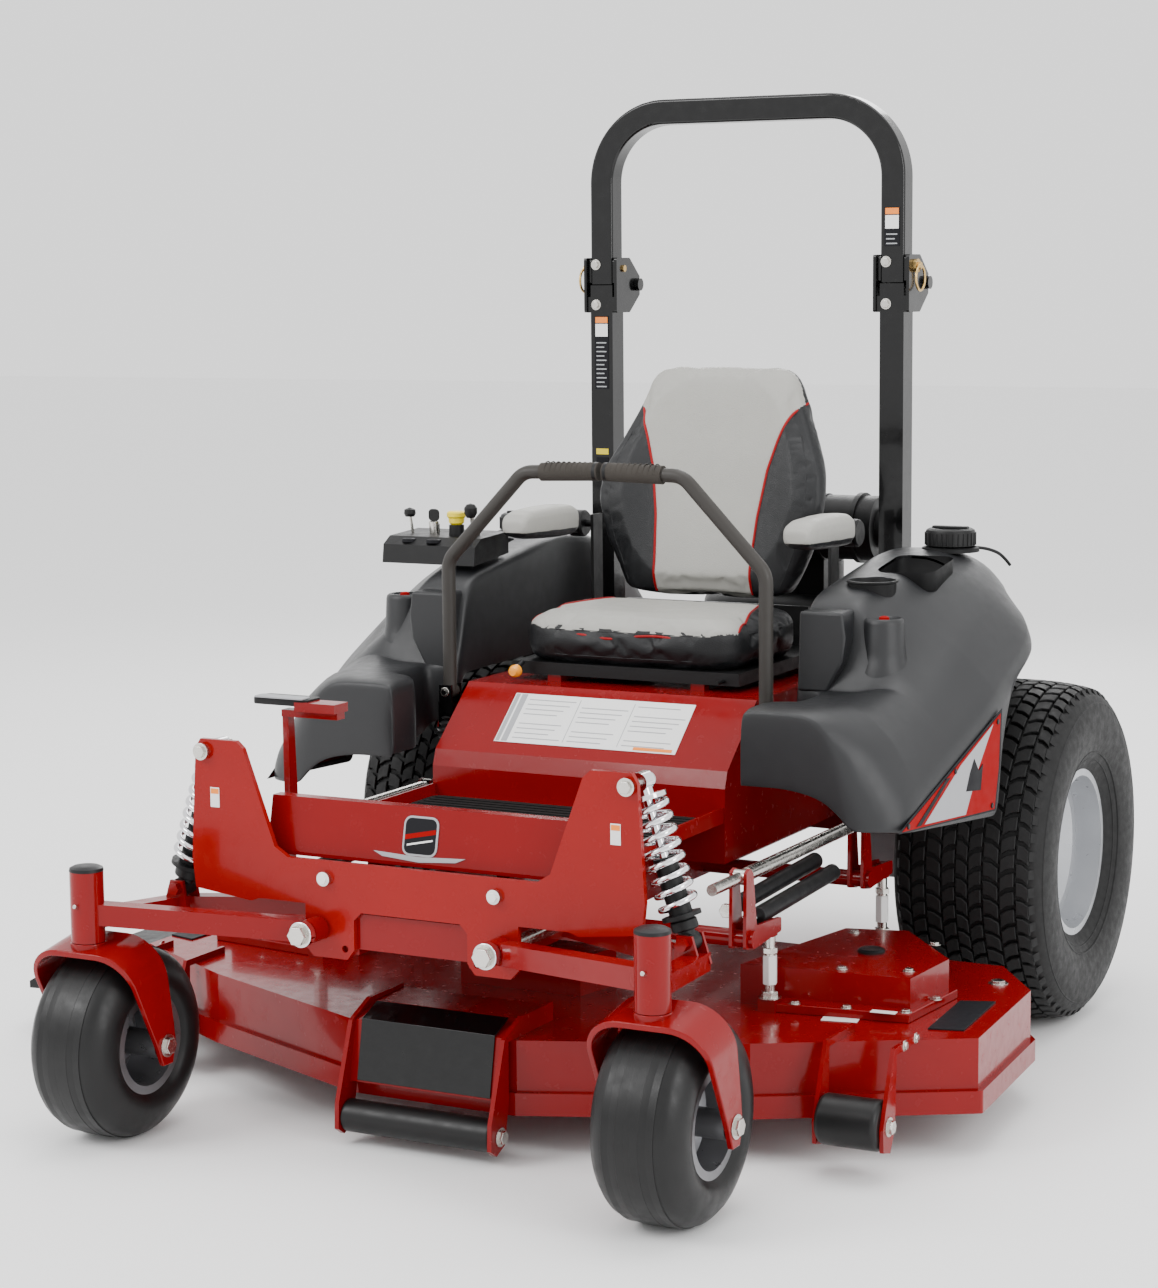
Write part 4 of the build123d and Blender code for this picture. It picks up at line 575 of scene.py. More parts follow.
FORK_HALF, FORK_TOP, FORK_FOOT = 101, 342, 131


def caster_fork(side, flip):
    """Broad strap bent over the tyre, its legs trailing back and tapering to the axle."""
    body = "caster_" + side
    pivot_y = -1502
    corner = 62
    path = [(FORK_HALF, FORK_FOOT), (FORK_HALF, 165), (FORK_HALF, 205), (FORK_HALF, FORK_TOP - corner)]
    path += arc((FORK_HALF - corner, FORK_TOP - corner), corner, 8, 90, 8)
    path += [(x, FORK_TOP) for x in (25, 12, 0)]
    path += [(-x, z) for x, z in reversed(path[:-1])]
    rings = []
    for i, (x, z) in enumerate(path):
        before, after = path[max(0, i - 1)], path[min(len(path) - 1, i + 1)]
        run = Vector((after[0] - before[0], after[1] - before[1])).normalized()
        out = Vector((run.y, -run.x)) * 5
        down = (FORK_TOP - z) / (FORK_TOP - 165)
        middle_y = pivot_y + 8 + 61 * min(1.0, down) ** 0.9
        wide = 47 - 22 * max(0.0, min(1.0, (down - 0.15) / 0.85)) ** 1.4
        if i in (0, len(path) - 1):
            wide, middle_y = 13, middle_y + 2
        slope = 0.20 * (1 - min(1.0, down * 1.6))
        ring = []
        for sy, so in ((-1, -1), (1, -1), (1, 1), (-1, 1)):
            ring.append((flip * CASTER_X + x + out.x * so, middle_y + sy * wide,
                         z + out.y * so + sy * wide * slope))
        rings.append(ring)
    made = loft("caster_fork_strap_" + side, rings, RED)
    bevel(made, 2.2, 3)
    smooth_by_angle(made, 40)
    finish_piece(made, body)
    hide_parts("caster_fork_" + side)
    round_bar("caster_stem_" + side, (flip * CASTER_X, pivot_y, 330), (flip * CASTER_X, pivot_y, 349), 30,
              RED, body, edge=2)
    round_bar("caster_axle_" + side, (flip * CASTER_X - 108, CASTER_Y, CASTER_Z),
              (flip * CASTER_X + 108, CASTER_Y, CASTER_Z), 9.4, ZINC, body)
    for end in (-1, 1):
        hex_bolt(f"caster_nut_{'in' if end * flip < 0 else 'out'}_{side}",
                 (flip * CASTER_X + end * 106.5, CASTER_Y, CASTER_Z), "x", 14.5, ZINC, body, height=end * 9)
        round_bar(f"caster_spacer_{'in' if end * flip < 0 else 'out'}_{side}",
                  (flip * CASTER_X + end * 70, CASTER_Y, CASTER_Z), (flip * CASTER_X + end * 95.5, CASTER_Y,
                                                                     CASTER_Z), 16, ZINC, body)


def caster_cap(side, flip):
    """Dust cap over the pivot tube and a grease fitting beside it."""
    arm = "arm_" + side
    top = [(0, 479), (10, 479), (22, 478), (28, 475), (29, 470), (27, 468), (0, 468)]
    lathe("pivot_cap_" + side, [(z, r) for r, z in top][1:-1] + [(468, 0.5), (479, 0.5)],
          (flip * CASTER_X, -1502, 0), DARK_STEEL, arm, axis="z", steps=48)
    round_bar("grease_fitting_" + side, (flip * CASTER_X, -1529, 412), (flip * CASTER_X, -1538, 415), 3.6,
              ZINC, arm)


# ---------------------------------------------------------------- fenders
TANK_CREST = ((-560, 703), (-545, 735), (-520, 830), (-500, 856), (-470, 872), (-400, 884), (-300, 900),
              (-190, 916), (-80, 921), (20, 910), (110, 872), (190, 815), (260, 752), (310, 705))


def value_at(table, y):
    """Straight-line value of a table of (y, value) at y."""
    for (y0, v0), (y1, v1) in zip(table, table[1:]):
        if y <= y1:
            return v0 + (v1 - v0) * max(0.0, (y - y0) / (y1 - y0))
    return table[-1][1]


def side_x(y):
    """How far out the flat side panel with the badge stands: it runs outward towards the rear."""
    return 640 + (y + 796) * 0.125


def fender_section(y, notch):
    """Half a dozen lines of the fender's skin at one distance along it, from its inner foot outwards."""
    plateau = value_at(((-800, 696), (-780, 703)) + TANK_CREST, y)
    crease = value_at(((-800, 500), (-740, 528), (-150, 778), (-90, 784), (0, 770), (120, 744), (310, 690)),
                      y)
    foot = value_at(((-800, 500), (-740, 494), (-395, 466), (-392, 560), (-330, 706), (-200, 748), (-150,
                                                                                                    760),
                     (-90, 772), (0, 752), (120, 722), (310, 680)), y)
    reach = value_at(((-800, 560), (-797, 585), (-785, 612), (-765, 638), (-735, 662), (-700, 676), (-650,
                                                                                                     686),
                      (-560, 690), (-200, 684), (-130, 646), (-33, 600), (86, 560), (200, 524), (310, 500)),
                      y)
    shoulder_x = value_at(((-800, 500), (-700, 540), (-560, 545), (-480, 520), (-300, 540), (-130, 540),
                           (86, 500), (310, 450)), y)
    shoulder = value_at(((-800, 694), (-780, 702), (-640, 706), (-560, 724), (-480, 772), (-400, 815), (-300,
                                                                                                        858),
                         (-190, 890), (-80, 900), (20, 888), (110, 850), (190, 798), (260, 740), (310, 697)),
                         y)
    inner = 410 if notch else 354
    floor = value_at(((-800, 565), (-600, 565), (-560, 600), (-540, 682), (310, 684)), y)
    top_in = shoulder_x - 62
    reach = min(reach, side_x(y))
    mid_x = (shoulder_x + reach) / 2
    mid_z = shoulder - (shoulder - crease) * 0.36
    return [(inner, y, floor), (inner, y, plateau - 8), (inner + 7, y, plateau),
            (max(inner + 14, top_in - 30), y, plateau), (top_in, y, plateau), (shoulder_x, y, shoulder),
            (mid_x, y, mid_z), (reach - 9, y, crease + 24), (reach, y, crease), (reach, y,
                                                                                 (crease + foot) / 2),
            (reach, y, foot)]


def fender(side, flip):
    stations = [-800, -797, -785, -765, -735, -702, -701, -650, -600, -564, -563, -545, -530, -515, -500,
                -470, -430,
                -396, -391, -360, -330, -260, -200, -150, -90, -30, 30, 80, 130, 180, 230, 270, 310]
    rows = []
    for y in stations:
        rows.append(fender_section(y, -701.5 < y < -563.5))
    front = []
    for index, (x, y, z) in enumerate(rows[0]):
        low = 562 if x < 470 else 562 - 62 * min(1.0, (x - 470) / 90) ** 1.6
        front.append((x, y, low if index else z))
    middle = [(x, y, (z + rows[0][i][2]) / 2) for i, (x, y, z) in enumerate(front)]
    rear = [(x, 316, max(684, z - 26) if i else z) for i, (x, _, z) in enumerate(rows[-1])]
    grid = [front, middle] + rows + [rear]
    grid = [[(flip * x, y, z) for x, y, z in row] for row in grid]
    made = loft("fender_skin_" + side, grid, FENDER, closed_ring=False, caps=False)
    work = bmesh.new()
    work.from_mesh(made.data)
    layer = work.edges.layers.float.new("crease_edge")
    crease_ids = (7, 8)
    count = len(rows[0])
    for edge in work.edges:
        a, b = edge.verts
        ia = a.index % count
        if a.index % count == b.index % count and ia in crease_ids:
            edge[layer] = 0.85
    work.to_mesh(made.data)
    work.free()
    thick = made.modifiers.new("wall", "SOLIDIFY")
    thick.thickness = 0.0045
    thick.offset = -1.0 if flip > 0 else 1.0
    subdivide(made, 2)
    apply_modifiers(made)
    face_outwards(made)
    smooth_by_angle(made, 42)
    finish_piece(made, "chassis")
    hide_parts("fender_" + side)
    return made


def face_outwards(made):
    """Turns every face of a closed mesh to look outwards."""
    work = bmesh.new()
    work.from_mesh(made.data)
    bmesh.ops.recalc_face_normals(work, faces=work.faces)
    work.to_mesh(made.data)
    work.free()


def cut(made, cutter):
    """Takes the cutter's shape out of a piece and removes the cutter."""
    face_outwards(cutter)
    tool = made.modifiers.new("cut", "BOOLEAN")
    tool.operation = "DIFFERENCE"
    tool.solver = "MANIFOLD"
    tool.object = cutter
    apply_modifiers(made)
    bpy.data.objects.remove(cutter)


def prism_mesh(name, outline, axis, span, finish):
    """Plain closed prism, for cutting with."""
    count = len(outline)
    points = [put(axis, p, span[0]) for p in outline] + [put(axis, p, span[1]) for p in outline]
    faces = [tuple(range(count)), tuple(range(2 * count - 1, count - 1, -1))]
    faces += [(i, (i + 1) % count, count + (i + 1) % count, count + i) for i in range(count)]
    return build(name, points, faces, finish)


CUP = (440, -400, 42)
TRAY = ((414, 556), (-326, -194))


def fender_details(side, flip, skin):
    """Cup and tray wells, the ribbed stump and the badge strip of one fender."""
    tray_x = tuple(sorted((flip * TRAY[0][0], flip * (TRAY[0][1] - 28))))
    cut(skin, prism_mesh("tray_cutter", rounded(tray_x, TRAY[1], 24), "z", (862, 960), FENDER))
    outer = rounded(tray_x, TRAY[1], 24)
    rings = [[(x, y, value_at(TANK_CREST, y) + 1) for x, y in outer], [(x, y, 864) for x, y in outer]]
    centre_x = sum(tray_x) / 2
    rings.append([(centre_x + (x - centre_x) * 0.9, -260 + (y + 260) * 0.9, 858) for x, y in outer])
    well = loft("tray_well_" + side, rings, FENDER_DARK, caps=False)
    well.data.polygons.foreach_set("use_smooth", [True] * len(well.data.polygons))
    floor = [(x, y) for x, y, _ in rings[-1]]
    finish_piece(well, "chassis")
    plate("tray_floor_" + side, floor, "z", (855, 858.5), FENDER_DARK, "chassis", edge=0)
    if flip > 0:
        ring = arc(CUP[:2], CUP[2], 0, 360, 40)[:-1]
        cut(skin, prism_mesh("cup_cutter", ring, "z", (800, 960), FENDER))
        profile = [(886, 48), (889, 47), (889.5, 43), (886, 41), (800, 37), (792, 34), (791, 0.5), (789, 0.5),
                   (789, 36), (798, 40), (884, 44)]
        lathe("cup_well_" + side, profile, (CUP[0], CUP[1], 0), FENDER_DARK, "chassis", axis="z", steps=64)
    stump = [(738, 50), (755, 42), (775, 39), (824, 36.5), (830, 35), (833, 31), (830, 27), (827, 14),
             (827, 0.5), (700, 0.5), (700, 50)]
    lathe("fender_stump_" + side, stump, (flip * 502, -499, 0), FENDER, "chassis", axis="z", steps=64,
          angle=50)
    lathe("stump_button_" + side, [(827, 0.5), (835, 0.5), (836, 5), (834, 9), (827, 10)],
          (flip * 502, -499, 0), BADGE_RED, "chassis", axis="z", steps=40)
    console_face = [(flip * x, z) for x, z in ((360, 700), (418, 700), (448, 756), (454, 800), (448, 846),
                                               (364, 846))]
    plate("console_face_" + side, console_face, "y", (-566, -490), FENDER, "chassis", edge=6)
    badge = [("border", 0.9, DARK_INK, [(-786, 500), (-420, 482), (-404, 560), (-398, 666), (-560, 598),
                                        (-740, 522)]),
             ("red", 1.6, BADGE_RED, [(-774, 502), (-426, 486), (-411, 560), (-405, 658), (-558, 593),
                                      (-736, 518)]),
             ("silver", 2.2, BADGE_SILVER, [(-694, 502), (-540, 494), (-500, 560), (-436, 642), (-560, 586)]),
             ("stripe", 2.6, DARK_INK, [(-724, 503), (-708, 502), (-600, 570), (-614, 570)]),
             ("chevron", 3.0, DARK_INK, [(-540, 536), (-484, 530), (-476, 576), (-492, 566), (-510, 590),
                                         (-526, 566)])]
    for name, height, finish, outline in badge:
        low = [(flip * (side_x(y) + 0.4), y, z) for y, z in outline]
        high = [(flip * (side_x(y) + 0.4 + height), y, z) for y, z in outline]
        count = len(outline)
        faces = [tuple(range(count)), tuple(range(2 * count - 1, count - 1, -1))]
        faces += [(k, (k + 1) % count, count + (k + 1) % count, count + k) for k in range(count)]
        made = build(f"badge_{name}_{side}", low + high, faces, finish)
        finish_piece(made, "chassis")
    for y, z in ((-752, 508), (-436, 494), (-416, 644), (-580, 578)):
        outward = flip * side_x(y)
        round_bar(f"badge_rivet_{abs(y)}_{side}", (outward, y, z), (outward + flip * 3.8, y, z), 5,
                  BLACK_PLASTIC, "chassis", sides=20)


def fuel_fill(side, flip):
    """Vented cap with grip ribs, a collar and its tether."""
    centre = (flip * 470, -70, 0)
    body = "fuel_cap" if flip > 0 else "chassis"
    cap = [(924, 44), (926, 48), (950, 48.5), (956, 46), (959, 40), (957, 20), (957, 0.5), (925, 0.5)]
    made = lathe("fuel_cap_body_" + side, cap, centre, BLACK_PLASTIC, body, axis="z", steps=64)
    ribs = 28
    for i in range(ribs):
        turned = 2 * pi * i / ribs
        x, y = centre[0] + 48.3 * sin(turned), centre[1] + 48.3 * cos(turned)
        round_bar(f"cap_rib_{i + 1}_{side}", (x, y, 927), (x, y, 951), 1.7, BLACK_PLASTIC, body, sides=10,
                  edge=0)
    lathe("cap_collar_" + side, [(914, 56), (921, 55), (923, 51), (923, 30), (914, 30)], centre, FENDER_DARK,
          "chassis", axis="z", steps=64)
    grip = [(centre[0] - 36, centre[1] - 8), (centre[0] + 36, centre[1] - 8), (centre[0] + 36, centre[1] + 8),
            (centre[0] - 36, centre[1] + 8)]
    plate("cap_grip_" + side, grip, "z", (956, 963), BLACK_PLASTIC, body, edge=2.5)
    if flip > 0:
        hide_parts("fuel_cap")
        strap = [(560, 20, 882), (552, 0, 903), (538, -30, 916), (520, -48, 921), (505, -60, 922)]
        tube("cap_tether", strap, 3.2, BLACK_PLASTIC, "chassis")


# ---------------------------------------------------------------- upholstery
def puff(made, pressure, cap_mm, voxel=5.0, frames=20):
    """Swells a closed pad as cloth under pressure, no point moving further than the cap."""
    remesh = made.modifiers.new("even", "REMESH")
    remesh.mode = "VOXEL"
    remesh.voxel_size = voxel * MM
    apply_modifiers(made)
    before = [v.co.copy() for v in made.data.vertices]
    cloth = made.modifiers.new("cloth", "CLOTH")
    cloth.settings.quality = 5
    cloth.settings.mass = 0.3
    cloth.settings.tension_stiffness = 18
    cloth.settings.compression_stiffness = 18
    cloth.settings.bending_stiffness = 2.5
    cloth.settings.use_pressure = True
    cloth.settings.uniform_pressure_force = pressure
    cloth.settings.effector_weights.gravity = 0
    cloth.collision_settings.use_collision = False
    scene = bpy.context.scene
    for number in range(1, frames + 1):
        scene.frame_set(number)
    apply_modifiers(made)
    scene.frame_set(1)
    limit = cap_mm * MM
    for vertex, start in zip(made.data.vertices, before):
        move = vertex.co - start
        if move.length > limit:
            vertex.co = start + move.normalized() * limit
    subdivide(made, 1)
    apply_modifiers(made)
    for face in made.data.polygons:
        face.use_smooth = True
    return made


def two_tone(made, inside, light, dark):
    """Faces that the test says are inside the panel take the light cover, the rest the dark one."""
    made.data.materials.clear()
    made.data.materials.append(light)
    made.data.materials.append(dark)
    for face in made.data.polygons:
        centre = face.center
        x = (centre.x - CENTRE_X) / MM
        y = (centre.y - AXLE_Y) / MM
        face.material_index = 0 if inside(x, y, centre.z / MM, face.normal) else 1


def surface_line(made, spots, direction, lift):
    """Points of a seam laid on a piece's surface, looking along a direction from outside."""
    tree = BVHTree.FromObject(made, bpy.context.evaluated_depsgraph_get())
    points = []
    look = Vector(direction)
    for spot in spots:
        start = at(*spot) - look * 0.3
        hit, _, _, _ = tree.ray_cast(start, look)
        if hit is None:
            continue
        place = hit - look * lift * MM
        points.append(((place.x - CENTRE_X) / MM, (place.y - AXLE_Y) / MM, place.z / MM))
    return points


SEAT_LOW_Y, SEAT_LOW_Z, SEAT_HIGH_Z = -214, 814, 1276


def back_half_width(t):
    """Half the seat back's width at a share of its height."""
    return value_at(((0, 176), (0.10, 200), (0.26, 232), (0.42, 247), (0.55, 243), (0.70, 214), (0.82, 190),
                     (0.92, 172), (0.97, 158), (1.0, 132)), t)


def back_panel_half(t):
    """Half the light centre panel's width."""
    return value_at(((0, 104), (0.15, 104), (0.35, 110), (0.55, 124), (0.68, 142), (0.78, 160), (0.86, 190),
                     (1.0, 190)), t)


def seat_back():
    rows, ring = 22, 36
    rings = []
    for r in range(rows):
        t = r / (rows - 1)
        z = SEAT_LOW_Z + (SEAT_HIGH_Z - SEAT_LOW_Z) * t
        lean = 88 * t + 10 * sin(pi * t)
        half = back_half_width(t) - 6
        thick = value_at(((0, 40), (0.1, 46), (0.6, 42), (0.9, 32), (1.0, 20)), t)
        points = []
        for i in range(ring):
            a = 2 * pi * i / ring
            c, s = cos(a), sin(a)
            x = half * (abs(c) ** 0.42) * (1 if c >= 0 else -1)
            y = thick * (abs(s) ** 0.55) * (1 if s >= 0 else -1)
            wing = max(0.0, abs(x) - 100) / 130
            y -= 46 * wing ** 1.5 * (0.35 + 0.65 * sin(pi * min(1.0, t * 1.15)))
            y += 10 * (1 - min(1.0, abs(x) / 110) ** 2) * (1 if s < 0 else 0)
            points.append((x, SEAT_LOW_Y + 52 + y + lean, z))
        rings.append(points)
    made = loft("seat_back_cover", rings, DARK_VINYL)
    subdivide(made, 1)
    apply_modifiers(made)
    puff(made, 3.0, 10)

    def light(x, y, z, normal):
        t = (z - SEAT_LOW_Z) / (SEAT_HIGH_Z - SEAT_LOW_Z)
        front = y < SEAT_LOW_Y + 52 + 88 * t
        return front and abs(x) < back_panel_half(t)

    two_tone(made, light, LIGHT_VINYL, DARK_VINYL)
    finish_piece(made, "seat")
    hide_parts("seat_back")
    for flip, side in ((1, "left"), (-1, "right")):
        spots = [(flip * back_panel_half(t / 40), -300, SEAT_LOW_Z + (SEAT_HIGH_Z - SEAT_LOW_Z) * t / 40)
                 for t in range(1, 39)]
        line = surface_line(made, [s for s in spots if abs(s[0]) < back_half_width((s[2] - SEAT_LOW_Z)
                            / (SEAT_HIGH_Z - SEAT_LOW_Z)) - 12], (0, 1, 0), 0.2)
        if len(line) > 3:
            tube("seat_back_piping_" + side, line, 2.6, RED_PIPING, "seat")
        seam = [(flip * (back_half_width(t / 30) * 0.86), -300,
                 SEAT_LOW_Z + (SEAT_HIGH_Z - SEAT_LOW_Z) * t / 30)
                for t in range(2, 22)]
        line = surface_line(made, seam, (0, 1, 0), -0.6)
        if len(line) > 3:
            tube("seat_back_seam_" + side, line, 1.2, DARK_VINYL, "seat")
    return made


CUSHION_Y, CUSHION_Z = (-558, -228), (724, 806)


def seat_cushion():
    """Crowned cushion with a tall dark border and a light top panel."""
    levels = ((0.0, 0.93), (0.10, 0.985), (0.35, 1.0), (0.72, 1.0), (0.90, 0.985), (1.0, 0.94))
    middle_y = sum(CUSHION_Y) / 2
    half_x, half_y = 241, (CUSHION_Y[1] - CUSHION_Y[0]) / 2
    outline = []
    for i in range(48):
        a = 2 * pi * i / 48
        c, s = cos(a), sin(a)
        x = half_x * abs(c) ** 0.34 * (1 if c >= 0 else -1)
        y = half_y * abs(s) ** 0.40 * (1 if s >= 0 else -1)
        if y < 0:
            x *= 0.975
            y += 12 * (x / half_x) ** 2
        outline.append((x, y))
    rings = []
    for share, pull in levels:
        z = CUSHION_Z[0] + (CUSHION_Z[1] - CUSHION_Z[0]) * share
        rings.append([(x * pull, middle_y + y * pull, z - (4 if y < 0 else 0) * share) for x, y in outline])
    rings.append([(x * 0.55, middle_y + y * 0.6, CUSHION_Z[1] + 4) for x, y in outline])
    made = loft("seat_cushion_cover", rings, DARK_VINYL)
    puff(made, 3.0, 9)

    def panel(x, y):
        front = (y - CUSHION_Y[0]) / (CUSHION_Y[1] - CUSHION_Y[0])
        return 224 - 78 * max(0.0, front) ** 1.3

    def light(x, y, z, normal):
        return normal.z > 0.35 and z > CUSHION_Z[1] - 20 and abs(x) < panel(x, y) and y > CUSHION_Y[0] + 7

    two_tone(made, light, LIGHT_VINYL, DARK_VINYL)
    finish_piece(made, "seat")
    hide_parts("seat_cushion")
    rear = [(side * panel(0, CUSHION_Y[1] - 26 - i * 14), CUSHION_Y[1] - 26 - i * 14, 800) for side in (1,)
            for i in range(21)]
    front = [(x, CUSHION_Y[0] + 9, 800) for x in (200, 150, 90, 30, -30, -90, -150, -200)]
    spots = rear + front + [(-x, y, z) for x, y, z in reversed(rear)]
    line = surface_line(made, spots, (0, 0, -1), 0.0)
    if len(line) > 3:
        tube("seat_cushion_piping", line, 2.4, RED_PIPING, "seat")
    for z in (CUSHION_Z[0] + 14, CUSHION_Z[0] + 62):
        ring = []
        tree = BVHTree.FromObject(made, bpy.context.evaluated_depsgraph_get())
        for i in range(64):
            a = 2 * pi * i / 64
            out = Vector((cos(a), sin(a), 0))
            hit, _, _, _ = tree.ray_cast(at(0, middle_y, z) + out * 0.6, -out)
            if hit is not None:
                place = hit - out * 0.0004
                ring.append(((place.x - CENTRE_X) / MM, (place.y - AXLE_Y) / MM, place.z / MM))
        tube(f"cushion_seam_{z}", ring, 1.1, DARK_VINYL, "seat", closed=True)


def armrest(side, flip):
    """Padded armrest: a light cover over a dark shell, on its bracket."""
    rings = []
    for y, half, low, high in ((-428, 22, 952, 974), (-418, 29, 944, 988), (-390, 32, 938, 995), (-330, 33,
                                                                                                  934, 997),
                               (-270, 33, 932, 997), (-220, 32, 932, 994), (-198, 27, 938, 986), (-190, 20,
                                                                                                  946, 976)):
        ring = []
        for i in range(20):
            a = 2 * pi * i / 20
            c, s = cos(a), sin(a)
            x = 298 + half * abs(c) ** 0.6 * (1 if c >= 0 else -1)
            z = (low + high) / 2 + (high - low) / 2 * abs(s) ** 0.6 * (1 if s >= 0 else -1)
            ring.append((flip * x, y, z))
        rings.append(ring)
    made = loft("armrest_pad_" + side, rings, LIGHT_VINYL)
    puff(made, 2.0, 4, voxel=4.0)
    two_tone(made, lambda x, y, z, normal: z > 950 - (y + 310) * 0.02 and y < -205, LIGHT_VINYL, DARK_VINYL)
    finish_piece(made, "armrest_" + side)
    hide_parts("armrest_" + side)
    hub = lathe("armrest_hub_" + side, [(-17, 0.5), (-17, 24), (-13, 27), (13, 27), (17, 24), (17, 0.5)],
                (flip * 298, -150, 950), BLACK_PLASTIC, "armrest_" + side, steps=48)
    arm = [(-205, 938), (-160, 930), (-150, 938), (-150, 962), (-165, 968), (-205, 972)]
    plate("armrest_bracket_" + side, arm, "x", (flip * 298 - 10, flip * 298 + 10), BLACK_PLASTIC,
          "armrest_" + side, edge=2.5)
    return hub


# ---------------------------------------------------------------- labels and small fittings
def sheet_label(name, corners, thick, finish, body):
    """A thin flat label laid on a plane given by its four corners."""
    a, b, c, d = (Vector(p) for p in corners)
    normal = (b - a).cross(d - a).normalized() * thick
    points = [tuple(p) for p in (a, b, c, d)] + [tuple(p + normal) for p in (a, b, c, d)]
    faces = [(0, 3, 2, 1), (4, 5, 6, 7), (0, 1, 5, 4), (1, 2, 6, 5), (2, 3, 7, 6), (3, 0, 4, 7)]
    made = build(name, points, faces, finish)
    return finish_piece(made, body)


def on_plane(origin, along, up, u, v, lift=0.0):
    """A place on a plane, u and v measured along two unit directions."""
    origin, along, up = Vector(origin), Vector(along).normalized(), Vector(up).normalized()
    return tuple(origin + along * u + up * v + along.cross(up) * lift)


def label_block(name, origin, along, up, u, v, lift, thick, finish, body):
    corners = [on_plane(origin, along, up, a, b, lift) for a, b in
               ((u[0], v[0]), (u[1], v[0]), (u[1], v[1]), (u[0], v[1]))]
    return sheet_label(name, corners, thick, finish, body)


def instruction_panel():
    """Blank three-column panel on the sloping front of the seat box, with plain bars for its lines."""
    origin = (0, -734, 575)
    up = Vector((0, 129, 110)).normalized()
    along = (1, 0, 0)
    length = hypot(129, 110)
    v = (28, length - 22)
    label_block("panel_base", origin, along, up, (-186, 186), v, 0.4, 0.7, WHITE_LABEL, "chassis")
    label_block("panel_edge_dark", origin, along, up, (-184, -176), (v[0] + 2, v[1] - 2), 1.2, 0.3, GREY_INK,
                "chassis")
    label_block("panel_edge_light", origin, along, up, (-172, -160), (v[0] + 2, v[1] - 2), 1.2, 0.3,
                BADGE_SILVER, "chassis")
    for i, x in enumerate((-46, 66)):
        label_block(f"panel_rule_{i + 1}", origin, along, up, (x - 0.6, x + 0.6), (v[0] + 8, v[1] - 8), 1.2,
                    0.25, GREY_INK, "chassis")
    rows = 9
    for column, (left, right) in enumerate(((-152, -54), (-38, 58), (74, 178))):
        for row in range(rows):
            if (row + column) % 5 == 4:
                continue
            y = v[0] + 12 + (v[1] - v[0] - 26) * row / (rows - 1)
            end = right - (9 * ((row * 7 + column * 3) % 4))
            label_block(f"panel_line_{column + 1}_{row + 1}", origin, along, up, (left, end), (y - 1.0,
                                                                                               y + 1.0), 1.2,
                        0.2, BADGE_SILVER, "chassis")
    label_block("panel_notice", origin, along, up, (100, 178), (v[0] + 3, v[0] + 10), 1.4, 0.3, ORANGE_INK,
                "chassis")


def front_badge():
    """Plain round-cornered emblem over a long silver flash on the foot deck's front panel."""
    origin = (0, -1302, 488)
    up = Vector((0, 20, 92)).normalized()
    along = (1, 0, 0)

    def shape(name, outline, lift, thick, finish):
        near = [on_plane(origin, along, up, u, v, lift) for u, v in outline]
        far = [on_plane(origin, along, up, u, v, lift + thick) for u, v in outline]
        count = len(outline)
        faces = [tuple(range(count)), tuple(range(2 * count - 1, count - 1, -1))]
        faces += [(i, (i + 1) % count, count + (i + 1) % count, count + i) for i in range(count)]
        finish_piece(build(name, near + far, faces, finish), "chassis")

    shape("front_flash", [(-88, 17), (-70, 9), (0, 4), (70, 9), (88, 17), (0, 13)], 0.4, 1.2, BADGE_SILVER)
    shape("front_emblem_edge", rounded((-33, 33), (14, 80), 14), 0.6, 1.6, BADGE_SILVER)
    shape("front_emblem_field", rounded((-29.5, 29.5), (17.5, 76.5), 11), 2.0, 0.7, DARK_INK)
    shape("front_emblem_band", [(-29, 40), (29, 52), (29, 60), (-29, 48)], 2.6, 0.5, BADGE_RED)
    shape("front_emblem_bar", [(-24, 30), (24, 40), (24, 43), (-24, 33)], 2.6, 0.5, WHITE_LABEL)


POST_X, POST_FRONT_Y = 319, 0


def post_labels():
    """Blank notices on the roll bar: white, with an orange head and plain bars."""
    for name, x, z, tall, body, head in (("hoop", POST_X, 1500, 76, "roll_hoop", ORANGE_INK),
                                         ("post", -POST_X, 1215, 150, "chassis", ORANGE_INK)):
        origin = (x, POST_FRONT_Y, z)
        along, up = (1, 0, 0), (0, 0, 1)
        label_block(name + "_notice", origin, along, up, (-16, 16), (0, tall), 0.5, 0.5, DARK_INK, body)
        label_block(name + "_notice_head", origin, along, up, (-14, 14), (tall - 14, tall - 2), 1.0, 0.3,
                    head, body)
        label_block(name + "_notice_field", origin, along, up, (-14, 14), (tall - 42, tall - 16), 1.0, 0.3,
                    WHITE_LABEL, body)
        for i in range(int((tall - 46) / 9)):
            y = 4 + 9 * i
            label_block(f"{name}_notice_line_{i + 1}", origin, along, up, (-12, 11 - 5 * (i % 2)), (y,
                                                                                                    y + 2.4),
                                                                                                    1.0, 0.2,
                        GREY_INK, body)
    label_block("post_tag", (-POST_X, POST_FRONT_Y, 1080), (1, 0, 0), (0, 0, 1), (-14, 14), (0, 12), 0.5, 0.5,
                YELLOW, "chassis")
    label_block("post_tag_low", (-POST_X, POST_FRONT_Y, 1060), (1, 0, 0), (0, 0, 1), (-14, 14), (0, 14), 0.5,
                0.5, DARK_INK, "chassis")


def arm_labels():
    """Small blank notices on the suspension towers."""
    for side, flip in SIDES:
        label_block("tower_notice_" + side, (flip * 380, -1333.4, 560), (1, 0, 0), (0, 0, 1), (-9, 9), (0,
                                                                                                        34),
                                                                                                        0.2,
                                                                                                        0.5,
                    WHITE_LABEL, "chassis")
        label_block("tower_notice_head_" + side, (flip * 380, -1333.4, 560), (1, 0, 0), (0, 0, 1), (-8, 8),
                    (23, 32), 0.7, 0.3, ORANGE_INK, "chassis")


